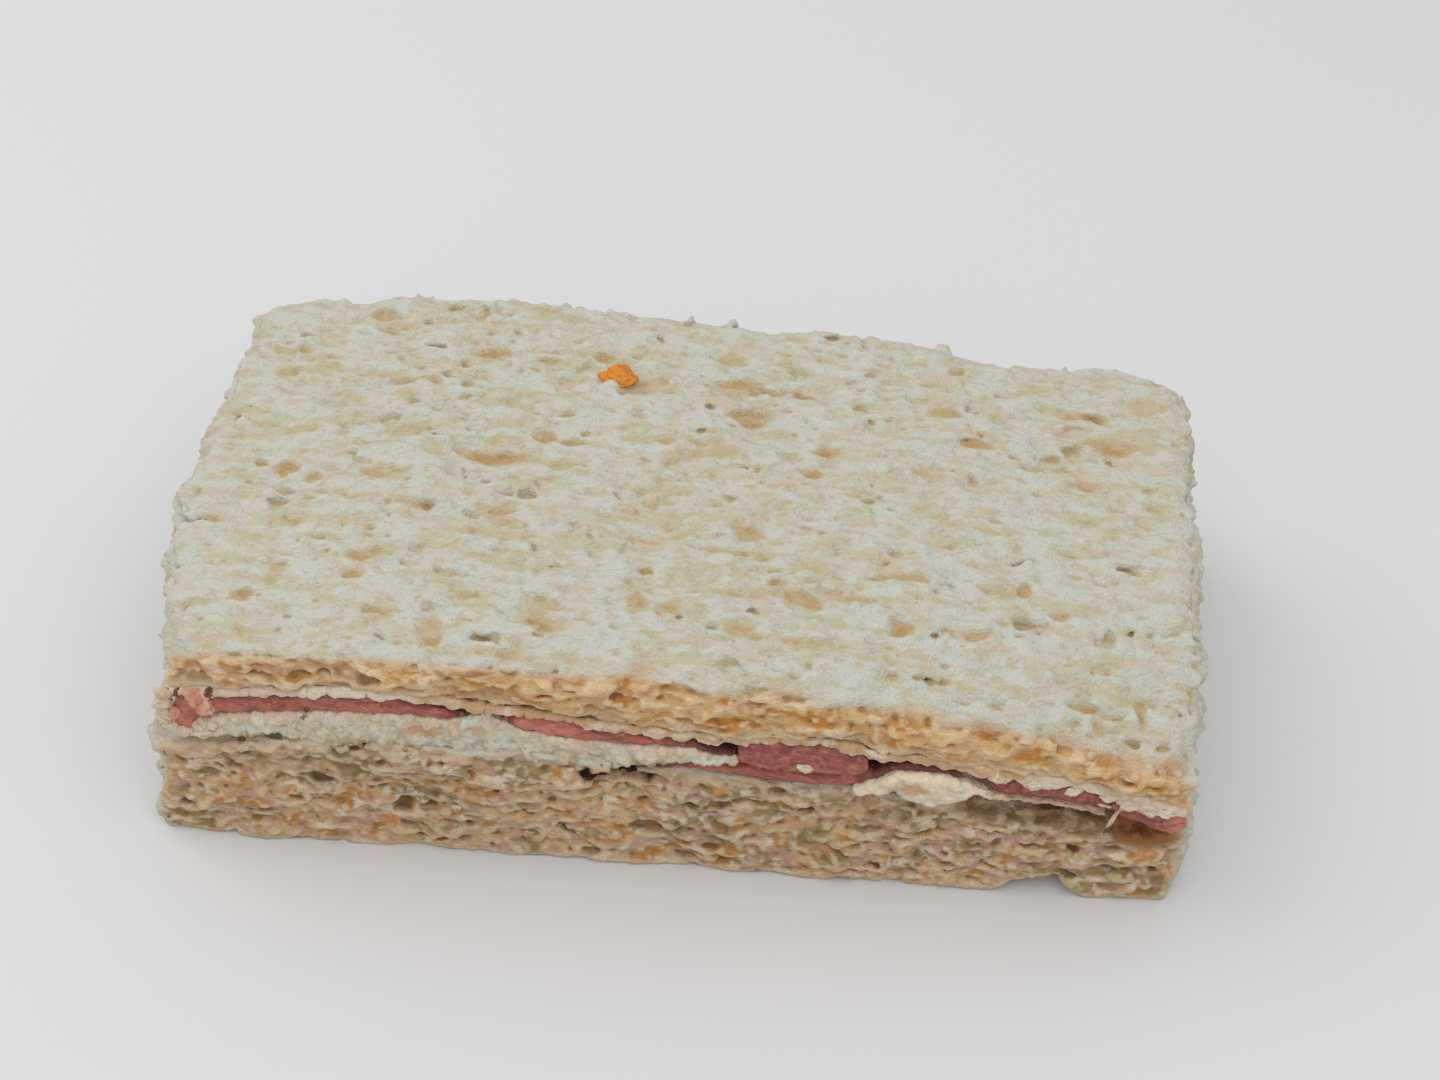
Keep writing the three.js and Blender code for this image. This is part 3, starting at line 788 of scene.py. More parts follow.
# %% Where the skin faces, frays and rests
SKIN_BLUR = 4  # steps of the grid over which the skin's facing is evened out
CORNERED = (0.3, 0.45)  # the share of the skin's facing that is off its main side at an edge
OUTER_FRAY = 0.45  # how much the two short sides fray, all over
FRAY_FROM = 4.0  # the lowest edge rests on the table and frays less below this height
LEAST_FRAY = 0.1
RESTING_RIM = (1.6, 4.0)  # no hollow is deep this low down and this near the outer sides
# how far in mm the coordinates are pushed about, over what lumps, and the seed's offset
WARPS = [(0.7, (2.6, 2.0, 2.0), 10), (0.35, (1.0, 0.8, 0.8), 20)]


def directions(body, grid):
    """The field's slope, how squarely it faces X, Y and Z, and the side that is open."""
    slope = np.stack(np.gradient(blurred(body, SKIN_BLUR), grid.pitch))
    facing = slope**2 / (slope**2).sum(0).clip(1e-4)
    axis = facing.argmax(0)
    out = (axis + 1) * np.sign(np.take_along_axis(slope, axis[None], 0)[0]).astype(int)
    return slope, facing, out


def squarely(slope):
    """How squarely the skin faces along a slope, from 0 to 1."""
    return np.clip(slope * 2 - 0.6, 0, 1)


def warped_places(grid, seed):
    """The grid's coordinates, pushed about so that what is carved with them is ragged."""
    warped = []
    for i, places in enumerate(grid.axes):
        pushed = on_axis(places, i).astype(np.float32)
        for reach, size, offset in WARPS:
            pushed = pushed + reach * noise_field(grid, size, seed + offset + i)
        warped.append(pushed)
    return warped


def raggedness(grid, facing):
    """How much the skin frays: most where two sides meet, and some on the short sides."""
    start, end = CORNERED
    share = smooth((1 - facing.max(0) - start) / (end - start))
    share = np.maximum(share, OUTER_FRAY * facing[0])
    share *= np.clip(grid.axes[2] / FRAY_FROM, LEAST_FRAY, 1)
    return share.astype(np.float32)


def free_of_table(body, grid, lowest):
    """1 where the skin may be carved, and less near the rim that the slice rests on."""
    rim_height, rim_width = RESTING_RIM
    mid_height = np.argmin(np.abs(grid.axes[2] - lowest - 2 * rim_width))
    near_side = np.clip(1 + body[:, :, mid_height, None] / rim_width, 0, 1)
    return 1 - near_side * np.clip(1 - grid.axes[2] / rim_height, 0, 1)


print("the short sides fray by", OUTER_FRAY, "of what the edges do")

# %% [markdown]
# ## Carving one slice
# The steps come together here, in the order that they happen to real bread: the slice
# has its form, its skin is lumpy, its cells are torn, and pores and cracks are opened.
# A limit keeps every hollow shallow, and one body is kept, so the mesh has no loose
# scraps. A copy of the CAD mesh with a Displace modifier would be quicker, but it can't
# open a pore sideways.

# %% One slice
DEEPEST = 1.3  # no pore reaches further than this under the skin, in mm
DEEPEST_VARIES = 0.3
DEEPEST_LUMPS = (2, 1, 1)
HIDDEN_FROM = 0.5  # skin that is hidden by more than this gets no pores
AT_CUT_FROM = 0.6  # and this squarely it has to face the cut for the cut's own pores
# what each use of noise adds to its slice's seed
LIMIT_SEED, GROUND_SEED, FRAY_SEED, CUT_GROUND_SEED = 60, 100, 200, 300
HOLLOW_SEED, CUT_HOLLOW_SEED = 400, 800


def torn_depth(grid, facing, facing_cut, warped, surface, hidden_side, cut_depth, seed):
    """How deep the crumb is torn, in mm: by chance, and where the photograph shows it."""
    torn = ragged_hollows(grid, HOLLOWS, facing, seed + HOLLOW_SEED)
    torn += facing_cut * ragged_hollows(grid, CUT_HOLLOWS, facing, seed + CUT_HOLLOW_SEED)
    if hidden_side == BELOW:
        add_seen(torn, grid, warped, surface, SEEN_ON_TOP, 2, SEEN_DEPTH)
    add_seen(torn, grid, warped, surface, SEEN_AT_CUT, 1, SEEN_CUT_DEPTH * cut_depth)
    return torn.astype(np.float32)


def crumb_slice(node, hidden_side, cut_depth, seed):
    """A slice of open crumb in the place of a CAD slice, and its numbers for the colours."""
    random = np.random.default_rng(seed)
    surface = solid_surface(node)
    solid, solid_grid = distance_field(node, SOLID_PITCH, MARGIN)
    grid = Grid(solid_grid.low, [axis[-1] for axis in solid_grid.axes], CRUMB_PITCH)
    body = resampled(solid, solid_grid, grid)
    flapped = add_flaps(body, grid, surface) if hidden_side == ABOVE else 0
    slope, facing, out = directions(body, grid)
    at_cut = np.maximum(-slope[1], flapped)
    near_filling = squarely(hidden_side * slope[2]) * (1 - flapped)
    hidden = near_filling
    if hidden_side == ABOVE:
        hidden = hidden * (1 - in_recess(grid))
    body -= FILLED_OUT + (HIDDEN_OUT - FILLED_OUT) * hidden
    np.maximum(body, REST_HEIGHT - grid.axes[2], out=body)
    warped = warped_places(grid, seed)
    free = free_of_table(body, grid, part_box(node)[0][2] / MM)
    facing_cut = cut_depth * squarely(at_cut)
    torn = torn_depth(grid, facing, facing_cut, warped, surface, hidden_side, cut_depth, seed)
    field = body - (free * (1 - hidden)).astype(np.float32) * (
        relief(grid, GROUND, facing, seed + GROUND_SEED)
        + raggedness(grid, facing) * relief(grid, FRAY, facing, seed + FRAY_SEED)
        + facing_cut * relief(grid, CUT_GROUND, facing, seed + CUT_GROUND_SEED)
        - torn
    )
    skin = hidden < HIDDEN_FROM
    for size in PORE_SIZES:
        pores = pores_of(body, skin, out, grid, size, PORE_DEPTHS, random)
        open_pores(field, grid, warped, *pores)
    skin &= at_cut > AT_CUT_FROM
    for size in CUT_PORE_SIZES:
        pores = pores_of(body, skin, out, grid, size, CUT_PORE_DEPTHS, random)
        open_pores(field, grid, warped, *pores)
    deepest = DEEPEST + DEEPEST_VARIES * noise_field(grid, DEEPEST_LUMPS, seed + LIMIT_SEED)
    np.minimum(field, body + (deepest * free).astype(np.float32), out=field)
    cracked = open_cracks(field, grid, warped, SEEN_CRACKS if hidden_side == ABOVE else [])
    np.maximum(field, REST_HEIGHT - grid.axes[2], out=field)
    numbers = {
        "hollow": blurred((field < 0).astype(np.float32), 2),
        "torn": blurred(torn, 1),
        "cut_side": at_cut,
        "near_filling": blurred(near_filling, 5),
        "cracked": cracked,
    }
    return field, grid, numbers

# %% [markdown]
# ## From the carved field to a piece
# The surface is cut down to a size that a viewer can carry. Then each vertex keeps five
# numbers, read from the fields: how hollow its neighbourhood is, how torn, how squarely
# it faces the cut, how near the filling is and whether it is in the crack. The material
# paints by them.

# %% Mesh of a slice
def crumb_piece(node, field, grid, numbers):
    """The slice as one mesh, with the numbers that its material reads."""
    vertices, quads = largest_body(*surface_net(field, grid))
    piece = mesh_object(node + "_crumb", vertices, quads)
    if 2 * len(quads) > MOST_TRIANGLES:
        applied(piece, "DECIMATE", ratio=MOST_TRIANGLES / (2 * len(quads)))
    piece.data.shade_smooth()
    points = points_of(piece)
    for name, values in numbers.items():
        keep_number(piece, name, read_at(values, grid, points))
    print(node, "quads", len(quads), "faces kept", len(piece.data.polygons))
    return piece


top_crumb = crumb_piece("bread_top", *crumb_slice("bread_top", BELOW, 0.7, 1))
bottom_crumb = crumb_piece("bread_bottom", *crumb_slice("bread_bottom", ABOVE, 1.0, 2))
for piece, node in ((top_crumb, "bread_top"), (bottom_crumb, "bread_bottom")):
    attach(piece, "root")
    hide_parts(node)

# %% [markdown]
# ## The colour of crumb
# White bread crumb is baked starch foam: dry, very matt, with no shine, and nearly white
# where its cell walls stand up. Light that has bounced about inside a pore comes out
# warmer and dimmer, so hollows look ochre: that shade and bounced light are painted into
# the colour of the hollows, and the crests at the cut are painted lighter. The cut side
# was torn by the knife and is warmer all over, and as it faces away from the main light
# its darker ochre is partly painted shade. A picture of bread wouldn't fit the pores, so
# the material lays its coats by the numbers that each vertex keeps, and colour follows
# the carved form exactly.
#
# The shader's own IOR of 1.5 fits dry starch, and nothing in food is metallic. A little
# light goes into the thin cell walls, which softens the shade in the pores.

# %% Crumb material
ORANGE_SHADE_END = (42.5, 44)  # past here the painted shade in the torn edge turns orange brown
ORANGE_STAIN = (4.5, 12.5, 0.9, 0.7)  # x, z, half width and half height
SPOT_FRONT = 0.3  # a spot's middle stands this far in front of the cut
SPOT_EDGE = (0.9, 0.9, 0.6)  # size in mm of the ragged steps in a spot's outline
SPOT_FADE = (1.8, 1.0)  # a spot ends at the first, counted in its half sizes, and is full at the second


def spot(tree, x, z, half_width, half_height):
    """A ragged oval mask on the cut side, in mm: noise is added to how far a place is."""
    place = add_node(tree, "ShaderNodeTexCoord").outputs["Object"]
    half = Vector((half_width, max(half_width, half_height), half_height)) * MM
    middle = Vector((x, CUT_Y - SPOT_FRONT, z)) * MM
    offset = add_node(tree, "ShaderNodeVectorMath", {0: place, 1: middle}, operation="SUBTRACT")
    shares = add_node(
        tree, "ShaderNodeVectorMath", {0: offset.outputs[0], 1: half}, operation="DIVIDE"
    )
    away = add_node(tree, "ShaderNodeVectorMath", {0: shares.outputs[0]}, operation="LENGTH")
    rough = mottle(tree, SPOT_EDGE, 0.2, 0.8)
    far = add_node(tree, "ShaderNodeMath", {0: rough, 1: away.outputs["Value"]}, operation="ADD")
    return add_node(tree, "ShaderNodeMapRange", {
        "Value": far.outputs[0], "From Min": SPOT_FADE[0], "From Max": SPOT_FADE[1],
    }, interpolation_type="SMOOTHSTEP").outputs[0]


def crumb_material(name, cut_ground_and_shade, cut_hues, cut_pit_shade, cut_crest_light, smeared, recess_shade_and_stain):
    """Baked white crumb: creamy on its ridges, painted ochre shade in its hollows, and a warm cut side
    with painted shade.

    smeared is how much of the filling has smeared the crumb beside it, and recess is how
    strong the painted shade in the torn upper edge and the orange stain at the cut are.
    """
    material, tree, shader = food_material(name)
    cut = by_vertex(tree, "cut_side", 0.4, 0.85)
    near = by_vertex(tree, "near_filling", 0.02, 0.3)
    cracked = add_node(tree, "ShaderNodeAttribute", attribute_name="cracked").outputs["Fac"]
    torn_edge_shade_mask = times(
        tree,
        along_axis(tree, "X", *RECESS[:2]),
        along_axis(tree, "X", *RECESS[2:]),
        along_axis(tree, "Y", CUT_Y + 2 * RECESS_REACH[0], CUT_Y + RECESS_REACH[0]),
    )
    coats = [
        (times(tree, mottle(tree, (3.1, 2.0, 2.0), 0.45, 0.65, detail=3), 0.7), 0xCCD0C7),
        (times(tree, mottle(tree, (4.4, 1.7, 2.4), 0.5, 0.66, detail=4), 0.55), 0xCDB59C),
        (times(tree, mottle(tree, (3.6, 1.5, 2.0), 0.5, 0.64, detail=4), 0.5), 0xBFB68A),
        (times(tree, mottle(tree, (1.6, 0.8, 1.0), 0.52, 0.68, detail=2), 0.45), 0xC4AC80),
        # painted shade and bounced light: the torn hollows are coloured ochre and brown, more where
        # they are deeper
        (times(tree, by_vertex(tree, "torn", 0.08, 0.4), 0.7), 0xC3AA79),
        (times(tree, by_vertex(tree, "torn", 0.3, 0.6), mottle(tree, (2.0, 1.4, 1.4), 0.35, 0.6), 0.8),
         0xB88F52),
        # painted shade and bounced light: ochre where the crumb round a vertex is hollow
        (times(tree, by_vertex(tree, "hollow", 0.54, 0.7), 0.65), 0xC1A068),
        # the cut side's own warmer torn crumb, partly painted shade because it faces away from the main
        # light
        (times(tree, cut, 0.92), cut_ground_and_shade),
    ]
    for hue, size, low, strength in cut_hues:
        coats.append((times(tree, cut, mottle(tree, size, low, low + 0.14, detail=3), strength), hue))
    coats += [
        # painted light on the crests of the cut, and painted shade in its torn pits and hollows
        (times(tree, cut, by_vertex(tree, "hollow", 0.5, 0.38), 0.6), cut_crest_light),
        (times(tree, cut, by_vertex(tree, "torn", 0.35, 0.9), 0.55), cut_pit_shade),
        (times(tree, cut, by_vertex(tree, "hollow", 0.55, 0.7), 0.7), cut_pit_shade),
        (times(tree, near, cut, mottle(tree, (1.6, 0.9, 0.9), 0.3, 0.6, detail=4), smeared),
         0xC6B598),
        # painted shade in the torn upper edge under the filling, orange brown at its right end; the
        # orange spot after it is a stain
        (times(tree, near, torn_edge_shade_mask, mottle(tree, (1.4, 1.4, 0.9), 0.2, 0.6, detail=4), recess_shade_and_stain),
         0x7A5A34),
        (times(tree, near, torn_edge_shade_mask, along_axis(tree, "X", *ORANGE_SHADE_END), recess_shade_and_stain), 0x9C6230),
        (times(tree, cut, spot(tree, *ORANGE_STAIN), recess_shade_and_stain), 0xD0843A),
        # painted shade: the narrow crack is coloured near black
        (cracked, 0x3E2212),
    ]
    colour = paint(tree, 0xCECCC0, coats)
    set_skin(tree, shader, colour, 0.95)
    let_light_in(shader, 0.15, (1.0, 0.7, 0.4), 0.6)
    # the walls of the smallest cells, about a third of a millimetre apart
    roughen(tree, shader, mottle(tree, (0.35, 0.3, 0.3), 0.25, 0.75, detail=3), 0.7, 0.25)
    return material


# colour, size in mm, where the noise starts, and strength of each stain at the cut side
TOP_CUT_HUES = [
    (0xC28030, (4.0, 2.0, 1.6), 0.45, 0.9),
    (0xE8D6B8, (2.4, 1.4, 1.2), 0.53, 0.8),
    (0xD09F85, (3.2, 1.7, 1.3), 0.54, 0.7),
    (0x9A7038, (1.8, 1.1, 1.0), 0.58, 0.6),
]
BOTTOM_CUT_HUES = [
    (0xC28138, (3.4, 2.0, 2.0), 0.48, 0.85),
    (0x83764A, (5.0, 3.0, 3.0), 0.47, 0.75),
    (0xC69B8D, (3.0, 1.7, 1.7), 0.5, 0.8),
    (0xE0D4BF, (2.0, 1.3, 1.2), 0.55, 0.9),
    (0x765936, (1.6, 1.1, 1.1), 0.58, 0.6),
]
top_crumb.data.materials.append(crumb_material(
    "white bread crumb of the top slice", cut_ground_and_shade=0xD6AA70, cut_hues=TOP_CUT_HUES,
    cut_pit_shade=0x925C2A, cut_crest_light=0xE7CFA7, smeared=0.5, recess_shade_and_stain=0,
))
bottom_crumb.data.materials.append(crumb_material(
    "white bread crumb of the bottom slice", cut_ground_and_shade=0xCFAB80, cut_hues=BOTTOM_CUT_HUES,
    cut_pit_shade=0x6B4C2C, cut_crest_light=0xDECBAA, smeared=0.6, recess_shade_and_stain=0.85,
))
print("stains at the cut: top", len(TOP_CUT_HUES), "and bottom", len(BOTTOM_CUT_HUES))

# %% [markdown]
# ## Filling
# The filling shows as a thin band at the cut. It could be modelled along that band alone,
# but then it wouldn't follow the CAD model. So each piece starts as a copy of its CAD
# solid. It is split into small triangles near the sandwich's sides only, so the hidden
# middle stays coarse.

# %% A refined copy of a CAD node
FINE = 0.3  # length of an edge in mm beside the sandwich's sides
SIDE_REACH = 1.3  # how far in from the sides the edges stay so fine
COARSER = 0.45  # how much longer they may get with each millimetre further in
SLACK = 1.5  # an edge is split when it is this many times too long
MOST_SPLITS = 7
SMOOTHINGS = 2


def inside_by(place):
    """How far a place in mm lies inside the sandwich's nearest side."""
    return min(
        place.x - sandwich_low[0], sandwich_high[0] - place.x, place.y - CUT_Y, BACK_Y - place.y
    )


def refined(node, name):
    """A copy of a CAD node, in mm, with small triangles near the sandwich's sides."""
    grown = bmesh.new()
    grown.from_mesh(nodes[node].data)
    grown.transform(Matrix.Scale(1 / MM, 4))
    bmesh.ops.remove_doubles(grown, verts=grown.verts, dist=1e-3)
    for _ in range(MOST_SPLITS):
        long = []
        for edge in grown.edges:
            inside = inside_by((edge.verts[0].co + edge.verts[1].co) / 2)
            if edge.calc_length() > SLACK * (FINE + COARSER * max(inside - SIDE_REACH, 0)):
                long.append(edge)
        if not long:
            break
        bmesh.ops.subdivide_edges(grown, edges=long, cuts=1)
        wide = [f for f in grown.faces if len(f.verts) > 3]
        bmesh.ops.triangulate(grown, faces=wide, quad_method="SHORT_EDGE")
    for _ in range(SMOOTHINGS):
        bmesh.ops.smooth_vert(
            grown, verts=grown.verts, factor=0.4, use_axis_x=True, use_axis_y=True, use_axis_z=True
        )
    mesh = bpy.data.meshes.new(name)
    grown.to_mesh(mesh)
    grown.free()
    made = bpy.data.objects.new(name, mesh)
    bpy.context.scene.collection.objects.link(made)
    return made


print("longest edge of the filling at the cut, in mm:", round(SLACK * FINE, 2))

# %% [markdown]
# ### Soft, torn layers
# Real ham and cheese bulge a little where the bread presses them, and their edges hang
# in scallops. Near the sides each piece is pushed out until it is flush with the swelled
# bread, thickened to close the air gaps of the CAD model, and given lumps by noise. Each
# vertex also keeps how high it lies in its layer, and how thick the layer is there,
# because the materials go by that.

# %% Lumps and edges of a piece
FLUSH_REACH = 2.6  # how far in from the sides the pieces are pushed and thickened
CUT_REACH = 1.6  # how far in from the cut the edge frays and hangs
SCALLOP = (1.7, 3.0)  # size in mm of the scallops, along X and up
FRAY_FINER = 1.6  # the fraying is this many times finer than the scallops
MORE_HANG = 0.25  # added to the noise, so that more than half of the edge hangs
SIDE_HANG = 0.3  # faces that look this far upwards still hang
HANG_FORWARD = 0.3  # how far what hangs comes forward, as a share of how far it hangs
BEYOND_THICKNESS = 1.2  # the thickness in mm for a point beside its CAD solid
LEAST_THICKNESS = 0.05  # where the solid is thinner, the ray has only grazed it
ABOVE_ALL = 50  # rays from above start this high, in mm


def along(amount, x):
    """An amount at x: one number, or (place, amount) stations with even steps between."""
    return float(np.interp(x, *zip(*amount))) if isinstance(amount, list) else amount


def lumped(piece, lumps, out=0.4, close=0.28, fray=0.2, droop=0.0, tuck=0.0):
    """Pushes a piece flush with the bread, closes its gaps, and gives it lumps.

    lumps are (size, height, offset). out is how far the piece is pushed, and close how
    far it is thickened. fray is how ragged its face is at the cut, droop is how far its
    lower edge hangs down there, and tuck is how far its upper edge goes up into the
    bread. All are in mm, and out, close and droop may change along X.
    """
    mesh = piece.data
    places = [v.co.copy() for v in mesh.vertices]
    normals = [v.normal.copy() for v in mesh.vertices]
    for vertex, place, normal in zip(mesh.vertices, places, normals):
        near = max(0, 1 - inside_by(place) / FLUSH_REACH)
        near = near * near * (3 - 2 * near)
        push = sum(high * noise.noise(place / size + offset) for size, high, offset in lumps)
        move = normal * push
        outwards, upwards = along(out, place.x), along(close, place.x)
        move += Vector((normal.x * outwards, normal.y * outwards, normal.z * upwards)) * near
        at_cut = max(0, 1 - (place.y - CUT_Y) / CUT_REACH)
        wave = Vector((place.x / SCALLOP[0], place.z / SCALLOP[1], 7))
        move.y += fray * noise.noise(wave * FRAY_FINER) * at_cut
        hang = along(droop, place.x) * max(0, MORE_HANG + noise.noise(wave))
        hang *= max(0, SIDE_HANG - normal.z) * at_cut
        move.z += tuck * at_cut * max(0, normal.z) - hang
        move.y -= HANG_FORWARD * hang
        vertex.co = (place + move) * MM
    mesh.shade_smooth()


def keep_height(piece, node):
    """Keeps each point's share of height in its CAD solid, and how thick that is."""
    surface = solid_surface(node)
    shares, thick = [], []
    for x, y, z in points_of(piece):
        under = Vector((x, max(y, CUT_Y + CUT_REACH), 0))
        low = surface.ray_cast(under, Vector((0, 0, 1)))[0]
        high = surface.ray_cast(under + Vector((0, 0, ABOVE_ALL)), Vector((0, 0, -1)))[0]
        found = low is not None and high is not None and high.z - low.z > LEAST_THICKNESS
        thick.append(high.z - low.z if found else BEYOND_THICKNESS)
        shares.append((z - low.z) / (high.z - low.z) if found else 0.5)
    keep_number(piece, "height", shares)
    keep_number(piece, "thickness", thick)


def dressed(node, name, slot, material, lumps, **edges):
    """One filling piece: a refined and lumped copy of its node, in its own material."""
    piece = refined(node, name)
    lumped(piece, lumps, **edges)
    keep_height(piece, node)
    piece.data.materials.append(material)
    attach(piece, "root")
    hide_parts(node)
    print(name, "triangles", len(piece.data.polygons))


def stretch(tree, low, high, rise, fall):
    """A mask over a stretch along X: it comes up over rise and dies away over fall, in mm."""
    return times(
        tree, along_axis(tree, "X", low, low + rise), along_axis(tree, "X", high, high - fall)
    )

# %% [markdown]
# ## Ham
# Cooked ham is moist, fine-grained meat that was sliced by a machine. Its cut edge is
# rosy, paler where the slice is thick and wet, and dried to maroon where it thins out to
# a tail. One flat pink would look like plastic, so coats lay salmon below and maroon
# above by the height that each vertex keeps, and the dark tails go by the thickness.
#
# Its water gives a soft sheen (roughness 0.6), and some of the light goes in and comes
# out redder, because the meat keeps back green and blue. The fibres are bump of half a
# millimetre.

# %% Ham
SALMON_PLACES = [(-54, -43.6), (-18.5, -8.5), (47.2, 54)]  # stretches along X, in mm
DARK_AND_SHADED_PLACES = [(29, 49, 0.9), (4, 21, 0.45)]  # stretches where the ham is darker, partly its own meat and partly painted shade under the spread, and how dark


def ham_material():
    """Cut cooked ham: rosy and mottled, with dark dried tails and salmon ends."""
    material, tree, shader = food_material("cooked ham")
    ragged = mottle(tree, (1.1, 1.1, 0.6), 0.3, 0.7, detail=3)
    coats = [
        (mottle(tree, (4, 4, 1.4), 0.4, 0.7, detail=3), 0xBE7663),
        (times(tree, mottle(tree, (0.9, 0.9, 0.7), 0.48, 0.62, detail=4), 0.8), 0x8E4540),
        (times(tree, mottle(tree, (0.6, 0.6, 0.45), 0.52, 0.66, detail=4), 0.6), 0xC78A72),
        (times(tree, by_vertex(tree, "height", 0.45, 0.0), ragged, 0.7), 0xC98468),
        (times(tree, by_vertex(tree, "height", 0.55, 1.0), ragged, 0.85), 0x7C3E40),
    ]
    for low, high in SALMON_PLACES:
        coats.append((times(tree, stretch(tree, low, high, 1.5, 2.5), ragged, 0.9), 0xD98670))
    # darker meat and painted shade: dark coats over these stretches
    for low, high, strength in DARK_AND_SHADED_PLACES:
        coats.append((times(tree, stretch(tree, low, high, 2, 2), ragged, strength), 0x7E3A38))
    coats.append((times(tree, by_vertex(tree, "thickness", 1.0, 0.4), 0.85), 0x5E2E2C))
    set_skin(tree, shader, paint(tree, 0xB15F52, coats), 0.6)
    let_light_in(shader, 0.15, (1.0, 0.35, 0.25), 0.4)
    roughen(tree, shader, mottle(tree, (0.5, 0.5, 0.25), 0.2, 0.8, detail=3), 0.8, 0.2)
    return material


HAM_LUMPS = [(3.0, 0.2, Vector((1, 2, 3))), (0.9, 0.16, Vector((5, 1, 2)))]
ham = ham_material()
HAM_EDGES = {
    "ham_left": {},
    "ham_middle": {"close": [(-10, 0.28), (-4, -0.05), (2, -0.05), (6, 0.25)]},
    "ham_lower": {"close": [(17.5, 0.28), (21, 0.05)]},
    "ham_fold": {},
    "ham_right": {},
    "ham_corner": {"out": 0.6, "close": 0.05},
}
for node, edges in HAM_EDGES.items():
    dressed(node, node + "_slice", "ham", ham, HAM_LUMPS, **edges)

# %% [markdown]
# ## Blue cheese
# Blue cheese is a soft, crumbly paste, ivory with buff patches, and it slumps over the
# edge of the bread where the slices press it. Moulds grow in its cracks as small dark
# green spots. The paste is a lumpy closed mesh, and the spots are masks at the few
# places where the photograph shows them, with some thin ones elsewhere.
#
# Its fat makes it about as matt as the ham, and lets the light further in, with a warm
# tint. Its grain of curd is bump of half a millimetre.

# %% Blue cheese
CREAMY = (14, 18)  # along X in mm: the paste is creamier past here
PINKISH = (29, 33)  # and from here it is a thin line, stained by the ham
# x, z, half width and half height of each patch
MOULD_SPOTS = [(-39.2, 15.5, 1.1, 0.7), (-35.7, 18.7, 0.5, 0.4), (-29.4, 14.6, 0.9, 0.4)]
BUFF_SPOTS = [(-24.2, 17.4, 2.6, 0.9), (23.0, 15.2, 1.6, 0.8)]


def cheese_material():
    """Blue cheese: ivory paste with buff patches and dark green mould."""
    material, tree, shader = food_material("blue cheese")
    veins = times(
        tree, mottle(tree, (3.2, 3.2, 2.0), 0.62, 0.7), mottle(tree, (0.8, 0.8, 0.8), 0.4, 0.6), 0.5
    )
    ragged = mottle(tree, (1.4, 1.4, 0.9), 0.4, 0.62, detail=4)
    creamy = times(tree, along_axis(tree, "X", *CREAMY), mottle(tree, (2, 2, 1), 0.3, 0.6), 0.8)
    coats = [
        (times(tree, mottle(tree, (3.4, 3.4, 1.8), 0.48, 0.62, detail=4), 0.7), 0xD4D6CC),
        (times(tree, mottle(tree, (1.7, 1.7, 1.1), 0.52, 0.64, detail=5), 0.7), 0xC2A77C),
        (times(tree, mottle(tree, (1.1, 1.1, 0.7), 0.53, 0.66, detail=4), 0.6), 0xD9B7A0),
        (times(tree, mottle(tree, (0.8, 0.8, 0.6), 0.56, 0.68, detail=4), 0.6), 0xA9A07C),
        (times(tree, by_vertex(tree, "height", 0.45, 0.0), ragged, 0.9), 0x9C865A),
        (times(tree, by_vertex(tree, "height", 0.7, 1.0), ragged, 0.6), 0xDDB9A8),
        (creamy, 0xF0DFC2),
        (times(tree, along_axis(tree, "X", *PINKISH), 0.75), 0xC99C86),
    ]
    coats += [(times(tree, spot(tree, *place), 0.8), 0xC79C6C) for place in BUFF_SPOTS]
    coats += [(times(tree, spot(tree, *place), 0.95), 0x48421E) for place in MOULD_SPOTS]
    coats.append((veins, 0x77724E))
    set_skin(tree, shader, paint(tree, 0xD9CFB8, coats), 0.6)
    let_light_in(shader, 0.2, (1.0, 0.8, 0.5), 0.7)
    roughen(tree, shader, mottle(tree, (0.5, 0.5, 0.5), 0.2, 0.8, detail=3), 0.8, 0.25)
    return material


CHEESE_LUMPS = [
    (2.2, 0.3, Vector((3, 3, 1))), (1.0, 0.35, Vector((8, 1, 5))), (0.5, 0.3, Vector((2, 4, 5))),
]
RIGHT_CHEESE_LUMPS = [(size, high / 2, offset) for size, high, offset in CHEESE_LUMPS]
cheese = cheese_material()
dressed(
    "blue_cheese_left", "blue_cheese_left_paste", "blue_cheese", cheese, CHEESE_LUMPS,
    out=[(-40, 0.5), (-32, 0.3), (-24, 0.0), (-8, 0.0), (-4, 0.4)],
    fray=0.5,
    droop=[(-32, 0.4), (-26, 0.0), (-6, 0.0), (0, 0.4)],
)
dressed(
    "blue_cheese_right", "blue_cheese_right_paste", "blue_cheese", cheese, RIGHT_CHEESE_LUMPS,
    out=[(27, 0.5), (30, -0.3)],
    close=[(26, 0.3), (29, -0.12)],
    fray=0.3,
    droop=0.3,
)

# %% [markdown]
# ## White spread
# A thin white spread lies under the top slice. It is squeezed out in small scallops
# that hang over the ham's upper edge, so it gets the most droop of all the layers. How
# far it hangs changes along the cut, so its amounts are stations along X.
#
# It is soft fat with water in it: cream white, a little uneven, and stained brown over
# the stretch where crumb from above has stuck to it.

# %% Spread
STAINED = (-26, 35)  # along X in mm: the stretch where crumb has stuck to the spread


